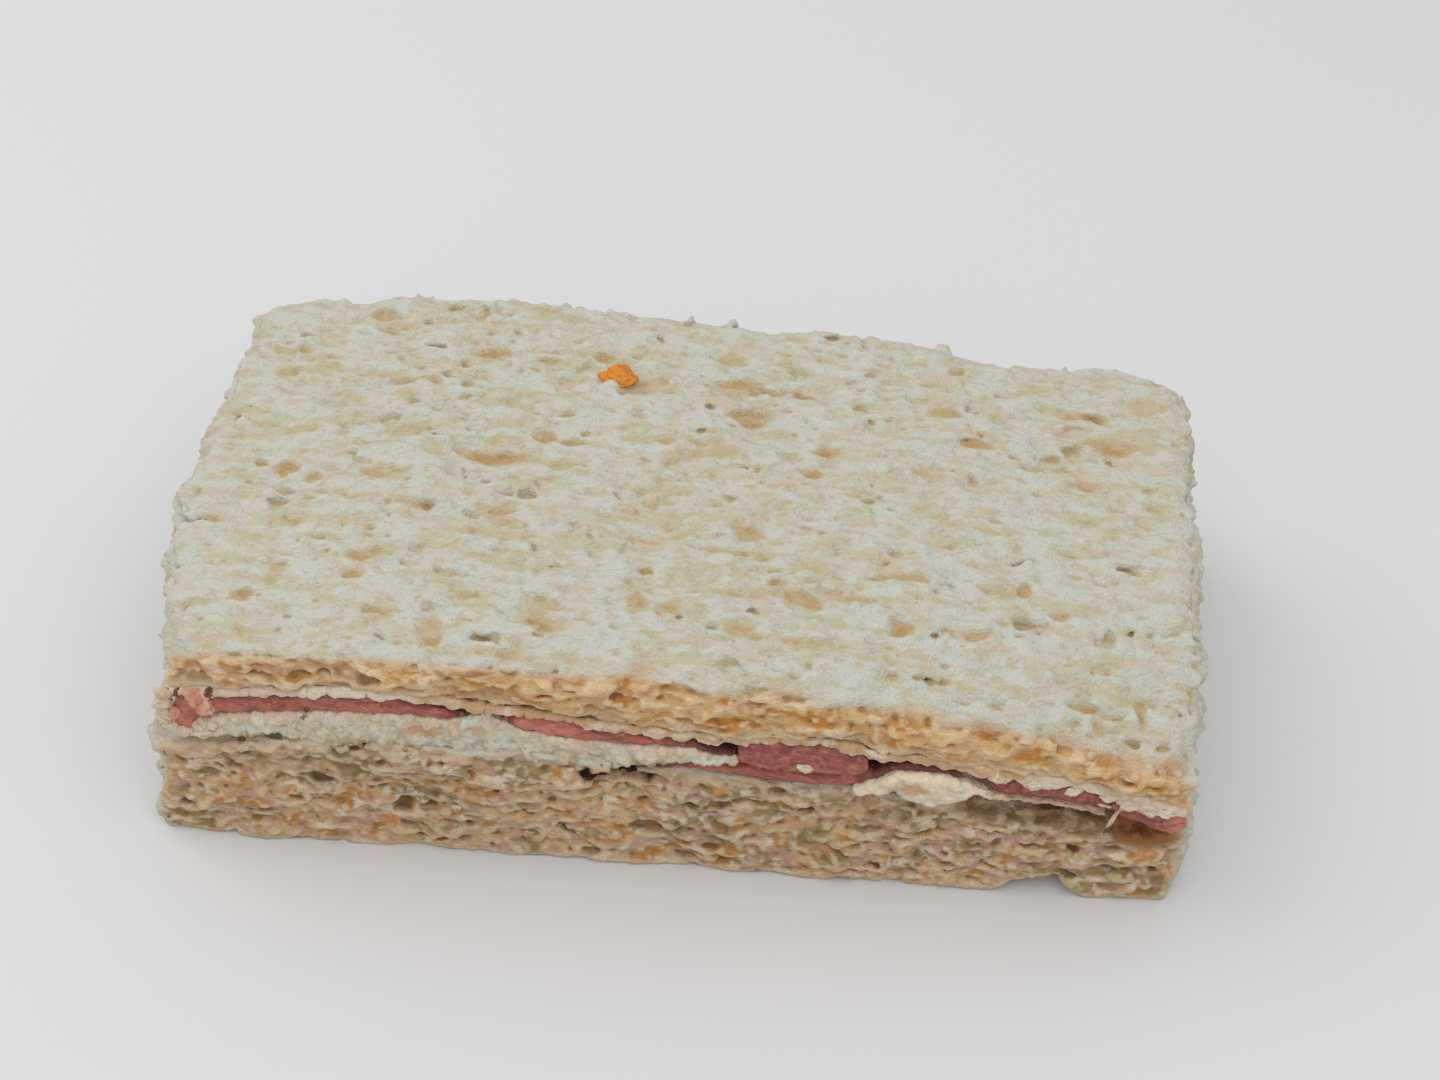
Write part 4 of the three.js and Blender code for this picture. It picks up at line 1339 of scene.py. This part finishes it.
def spread_material():
    """Soft white spread, stained by the crumb above it."""
    material, tree, shader = food_material("white spread")
    stained = times(
        tree,
        stretch(tree, *STAINED, 2, 2),
        by_vertex(tree, "height", 0.2, 0.7),
        mottle(tree, (3.0, 2.0, 1.4), 0.36, 0.54, detail=4),
    )
    colour = paint(tree, 0xD6C4AE, [
        (mottle(tree, (1.8, 1.8, 1), 0.4, 0.7, detail=3), 0xC6AB88),
        (mottle(tree, (0.7, 0.7, 0.5), 0.5, 0.75), 0xD5AF9C),
        (times(tree, mottle(tree, (4.5, 3.0, 3.0), 0.5, 0.62, detail=3), 0.8), 0xE0D3BF),
        (times(tree, stained, 0.85), 0xC49A68),
    ])
    set_skin(tree, shader, colour, 0.6)
    let_light_in(shader, 0.2, (1.0, 0.8, 0.6), 0.6)
    roughen(tree, shader, mottle(tree, (0.6, 0.6, 0.5), 0.2, 0.8, detail=2), 0.7, 0.25)
    return material


SPREAD_LUMPS = [(1.6, 0.25, Vector((2, 6, 1))), (0.7, 0.22, Vector((4, 1, 9)))]
spread = spread_material()
dressed(
    "spread", "spread_smear", "spread", spread, SPREAD_LUMPS,
    out=[(16, 0.6), (18, 0.25), (28, 0.25), (31, 0.6)],
    fray=0.6,
    tuck=1.1,
    close=[
        (-21, 0.12), (-18, -0.1), (-8, -0.1), (-5, 0.1), (17, 0.12), (20, -0.08), (41, -0.08),
        (43, 0.15),
    ],
    droop=[
        (-20, 0.5), (-17, 0.2), (-8, 0.3), (-5, 1.2), (17, 0.9), (20, 0.2), (26, 0.2), (30, 1.3),
        (41, 1.3), (43, 1.9),
    ],
)

# %% [markdown]
# ## Small bits
# A few bits are smaller than the CAD model's pieces: flecks of cheese, torn ham, a strand
# of fat, crumbs of spread and one orange crumb. They could be placed by hand, but then
# each change of the bread would leave them in the air or under its skin. So each is a
# rough pebble, and a ray finds the surface that it sticks to.

# %% Pebbles on a surface
def surface_of(*pieces):
    """One search tree in mm over several pieces."""
    points, faces = [], []
    for piece in pieces:
        faces += [[i + len(points) for i in p.vertices] for p in piece.data.polygons]
        points += [v.co / MM for v in piece.data.vertices]
    return BVHTree.FromPolygons(points, faces)


def pebbles(name, bits, material, seed):
    """Rough pebbles as one piece: each has a middle, half sizes in mm and a turn."""
    joined = bmesh.new()
    for number, (middle, half, turn) in enumerate(bits):
        ball = bmesh.ops.create_icosphere(joined, subdivisions=4, radius=1)["verts"]
        for vertex in ball:
            place = vertex.co.copy()
            rough = 1 + 0.5 * noise.noise(place * 1.3 + Vector((seed, number, 0)))
            rough += 0.25 * noise.noise(place * 3.5 + Vector((0, seed, number)))
            place = Vector(size * value * rough for size, value in zip(half, place))
            vertex.co = (Matrix.Rotation(turn, 3, "Y") @ place + Vector(middle)) * MM
    mesh = bpy.data.meshes.new(name)
    joined.to_mesh(mesh)
    joined.free()
    mesh.shade_smooth()
    mesh.materials.append(material)
    piece = bpy.data.objects.new(name, mesh)
    bpy.context.scene.collection.objects.link(piece)
    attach(piece, "root")
    print(name, len(bits), "bits")


LAYER_ENDINGS = ("_crumb", "_slice", "_paste", "_smear")
layers = [o for o in bpy.data.objects if o.name.endswith(LAYER_ENDINGS)]
surface = surface_of(*layers)
print("bits can stick to", len(layers), "pieces")

IN_FRONT = 8  # rays at the cut start this far before it, in mm
RAY_LENGTH = 12
AROUND = 0.6  # distance in mm between the rays round a bit
WIDER = 0.4  # what that grows by while no ray has found anything


def on_cut(x, z, sink=0.1):
    """The place on the cut side at x and z, a little under what stands out most there."""
    found = []
    around = AROUND
    while not found:
        for i, j in np.ndindex(3, 3):
            start = Vector((x + (i - 1) * around, CUT_Y - IN_FRONT, z + (j - 1) * around))
            hit = surface.ray_cast(start, Vector((0, 1, 0)), RAY_LENGTH)[0]
            if hit is not None:
                found.append(hit.y)
        around += WIDER
    return (x, sorted(found)[len(found) // 3] + sink, z)


def bits_on_cut(rows):
    """Bits at the cut, from rows of x, z, the three half sizes and the turn."""
    return [(on_cut(x, z), half, turn) for x, z, half, turn in rows]

# %% [markdown]
# ### Flecks of cheese
# The knife dragged some cheese along: one fleck stuck under the left cheese, a tiny one
# on the bottom slice, and one in the fold of the ham. They are the same paste.

# %% Cheese flecks
CHEESE_BITS = [
    (-21.3, 12.9, (1.4, 0.45, 0.75), 0.2),
    (-26.0, 8.3, (0.4, 0.3, 0.4), 0.4),
    (12.5, 16.3, (0.85, 0.4, 0.55), 0.1),
]
pebbles("cheese_flecks", bits_on_cut(CHEESE_BITS), cheese, 3)

# %% [markdown]
# ### Torn ham and fat
# At the left end the ham is hooked down, and its wet torn end is paler than the rest. A
# few specks beside it have dried to purple brown, and a strand of fat hangs off the right
# slice. Each is a meat or fat of its own colour, so each has its own short material:
# wet ham and fat are a little glossier than the dried ham, which lets no light in.

# %% Torn ham and fat
def pale_ham_material():
    """The wet end of a ham slice: salmon, blotched with pink and cream."""
    material, tree, shader = food_material("pale ham")
    colour = paint(tree, 0xCB8A72, [
        (mottle(tree, (1.3, 1.3, 1.3), 0.42, 0.6, detail=4), 0xD8AE92),
        (times(tree, mottle(tree, (0.9, 0.9, 0.9), 0.5, 0.66, detail=4), 0.8), 0xB8705F),
    ])
    set_skin(tree, shader, colour, 0.5)
    let_light_in(shader, 0.2, (1.0, 0.5, 0.4), 0.5)
    return material


def dried_ham_and_shade_material():
    """Ham that has dried to a dark purple brown; on the edge that peeps out at the left side it also
    stands for painted shade in the gap.
    """
    material, tree, shader = food_material("dried ham")
    blotches = mottle(tree, (0.6, 0.6, 0.6), 0.4, 0.6, detail=3)
    set_skin(tree, shader, paint(tree, 0x7C4A44, [(blotches, 0x5E3430)]), 0.6)
    return material


def fat_material():
    """A strand of fat that came away with the ham's edge."""
    material, tree, shader = food_material("ham fat")
    blotches = mottle(tree, (0.8, 0.8, 0.8), 0.4, 0.6, detail=3)
    set_skin(tree, shader, paint(tree, 0xCFA88A, [(blotches, 0xDCC3AA)]), 0.5)
    let_light_in(shader, 0.2, (1.0, 0.2, 0.1), 0.5)
    return material


FAT_BITS = [
    (42.8, 12.7, (0.2, 0.3, 1.35), 0.3),
    (41.6, 13.9, (0.9, 0.25, 0.18), 0.25),
    (43.3, 14.0, (0.4, 0.25, 0.22), -0.3),
]
HOOK_BITS = [
    (-45.5, 18.6, (0.9, 0.7, 1.3), 0.1),
    (-46.5, 20.1, (1.0, 0.6, 0.8), 0.2),
    (-46.4, 18.9, (0.8, 0.6, 1.1), -0.2),
    (-49.0, 19.0, (0.45, 0.5, 1.2), -0.1),
    (-48.6, 17.2, (0.5, 0.5, 0.9), 0.3),
]
DARK_BITS = [
    (-48.1, 20.1, (0.36, 0.4, 0.5), 0.2),
    (-44.9, 20.6, (0.4, 0.5, 0.4), -0.3),
    (-35.6, 19.1, (0.25, 0.25, 0.3), 0),
]
pebbles("ham_fat_strand", bits_on_cut(FAT_BITS), fat_material(), 5)
pebbles("ham_hook_edge", bits_on_cut(HOOK_BITS), pale_ham_material(), 6)

# the left ham's edge peeps out between the slices on the left side, in the dark dried colour, which
# also paints the shade in the gap between them
PEEP_PLACES = (-20.0, -18.6, -17.2, -15.8)
PEEP_HEIGHT = 18.0
PEEP_RAY_HEIGHT = 20.5  # where the top slice's side is found
PEEP_INSET = 0.35
dark_bits = bits_on_cut(DARK_BITS)
for y in PEEP_PLACES:
    beside = Vector((sandwich_low[0] - 5, y, PEEP_RAY_HEIGHT))
    hit = surface.ray_cast(beside, Vector((1, 0, 0)))[0]
    dark_bits.append(((hit.x + PEEP_INSET, y, PEEP_HEIGHT), (0.8, 1.1, 0.3), 0.2))
pebbles("ham_dark_spots", dark_bits, dried_ham_and_shade_material(), 7)

# %% [markdown]
# ### Crumbs of spread
# Round the hooked end, and over the right ham, the spread broke up into soft crumbs. One
# smooth band would hide the ham, so they are pebbles that overlap here and there.

# %% Crumbs of spread
# x, z and radius of each crumb round the hooked end
HOOK_CRUMBS = [
    (-49.5, 19.6, 0.7), (-49.6, 18.3, 0.8), (-49.5, 17.0, 0.7), (-49.6, 15.8, 0.8),
    (-49.0, 15.2, 0.7), (-48.0, 14.7, 0.8), (-46.8, 14.9, 0.7), (-45.7, 15.3, 0.8),
    (-45.0, 16.3, 0.6), (-49.3, 16.6, 0.5), (-46.2, 16.0, 0.5), (-44.3, 15.5, 0.7),
]
RIGHT_CRUMBS = [
    (42.3, 15.1, (1.1, 0.5, 0.75), 0.3),
    (34.5, 16.2, (0.9, 0.5, 0.7), 0.1),
    (38.6, 15.7, (0.9, 0.5, 0.45), -0.2),
    (31.2, 16.8, (1.0, 0.5, 0.5), 0.2),
    (44.0, 14.4, (1.2, 0.5, 0.6), 0.2),
    (45.8, 14.0, (1.2, 0.5, 0.6), 0.3),
    (47.5, 13.6, (1.0, 0.5, 0.5), 0.1),
]
hook_rows = [
    (x, z, (1.2 * radius, 0.5, 0.8 * radius), 0.7 * noise.noise((x, z, 0)))
    for x, z, radius in HOOK_CRUMBS
]
pebbles("spread_at_hook", bits_on_cut(hook_rows + RIGHT_CRUMBS), spread, 8)

# %% [markdown]
# ## Orange crumb
# One crumb of browned crust, orange like toast, was baked into the top slice. It is a
# flat pebble that a ray from above sets on the crumb. Toasted crust is dry but denser
# than crumb, so it is a little less matt.

# %% Orange crumb
FLECK_PLACE = (-9.5, 14.9)  # x and y in mm
FLECK_HALF = (1.75, 1.5, 0.5)
FLECK_SINK = 0.05  # how far its middle lies under the skin


def toasted_material():
    """Browned crust: orange, darker where it is driest."""
    material, tree, shader = food_material("toasted crust crumb")
    driest = mottle(tree, (0.9, 0.9, 0.9), 0.45, 0.65)
    set_skin(tree, shader, paint(tree, 0xD6831F, [(driest, 0xC26F1B)]), 0.7)
    return material


hit = surface.ray_cast(Vector((*FLECK_PLACE, ABOVE_ALL)), Vector((0, 0, -1)))[0]
fleck_middle = (*FLECK_PLACE, hit.z - FLECK_SINK)
pebbles("orange_crumb", [(fleck_middle, FLECK_HALF, 0)], toasted_material(), 2)

# %% [markdown]
# ## Floor and light
# The photograph was taken on a plain pale table in soft daylight: the shadow falls to the
# right and is faint, with a soft edge. A large square light high at the left behind makes
# it, a still larger one above the front lights the cut side, and an even white room fills
# the shadow. The table is matt, so it shows no reflection of the bread.

# %% Floor and light
FLOOR_SIZE = 4  # in metres, so that its edge is never in view
ROOM_STRENGTH = 0.63
AIM = Vector((0, 0, 10)) * MM  # the lights face the middle of the sandwich


def add_floor():
    """A plain pale table."""
    bpy.ops.mesh.primitive_plane_add(size=FLOOR_SIZE)
    floor = bpy.context.object
    floor.name = "floor"
    material, _, shader = food_material("pale table")
    shader.inputs["Base Color"].default_value = linear(0xD9D9DA)
    shader.inputs["Roughness"].default_value = 0.8
    floor.data.materials.append(material)


def add_softbox(name, place, size, power):
    """A square area light that faces the sandwich: place and size in mm, power in watts."""
    light = bpy.data.lights.new(name, "AREA")
    light.size = size * MM
    light.energy = power
    lamp = bpy.data.objects.new(name, light)
    lamp.location = Vector(place) * MM
    lamp.rotation_euler = (AIM - lamp.location).to_track_quat("-Z", "Y").to_euler()
    bpy.context.scene.collection.objects.link(lamp)
    print(name, "power", power)


add_floor()
add_softbox("window light", (-450, 150, 520), 500, 1.0)
add_softbox("ceiling light", (40, -250, 680), 700, 2.0)
world = bpy.data.worlds.new("soft room light")
world.use_nodes = True
room = world.node_tree.nodes["Background"]
room.inputs["Color"].default_value = linear(0xFFFFFF)
room.inputs["Strength"].default_value = ROOM_STRENGTH
bpy.context.scene.world = world
bpy.context.scene.view_settings.view_transform = "Standard"
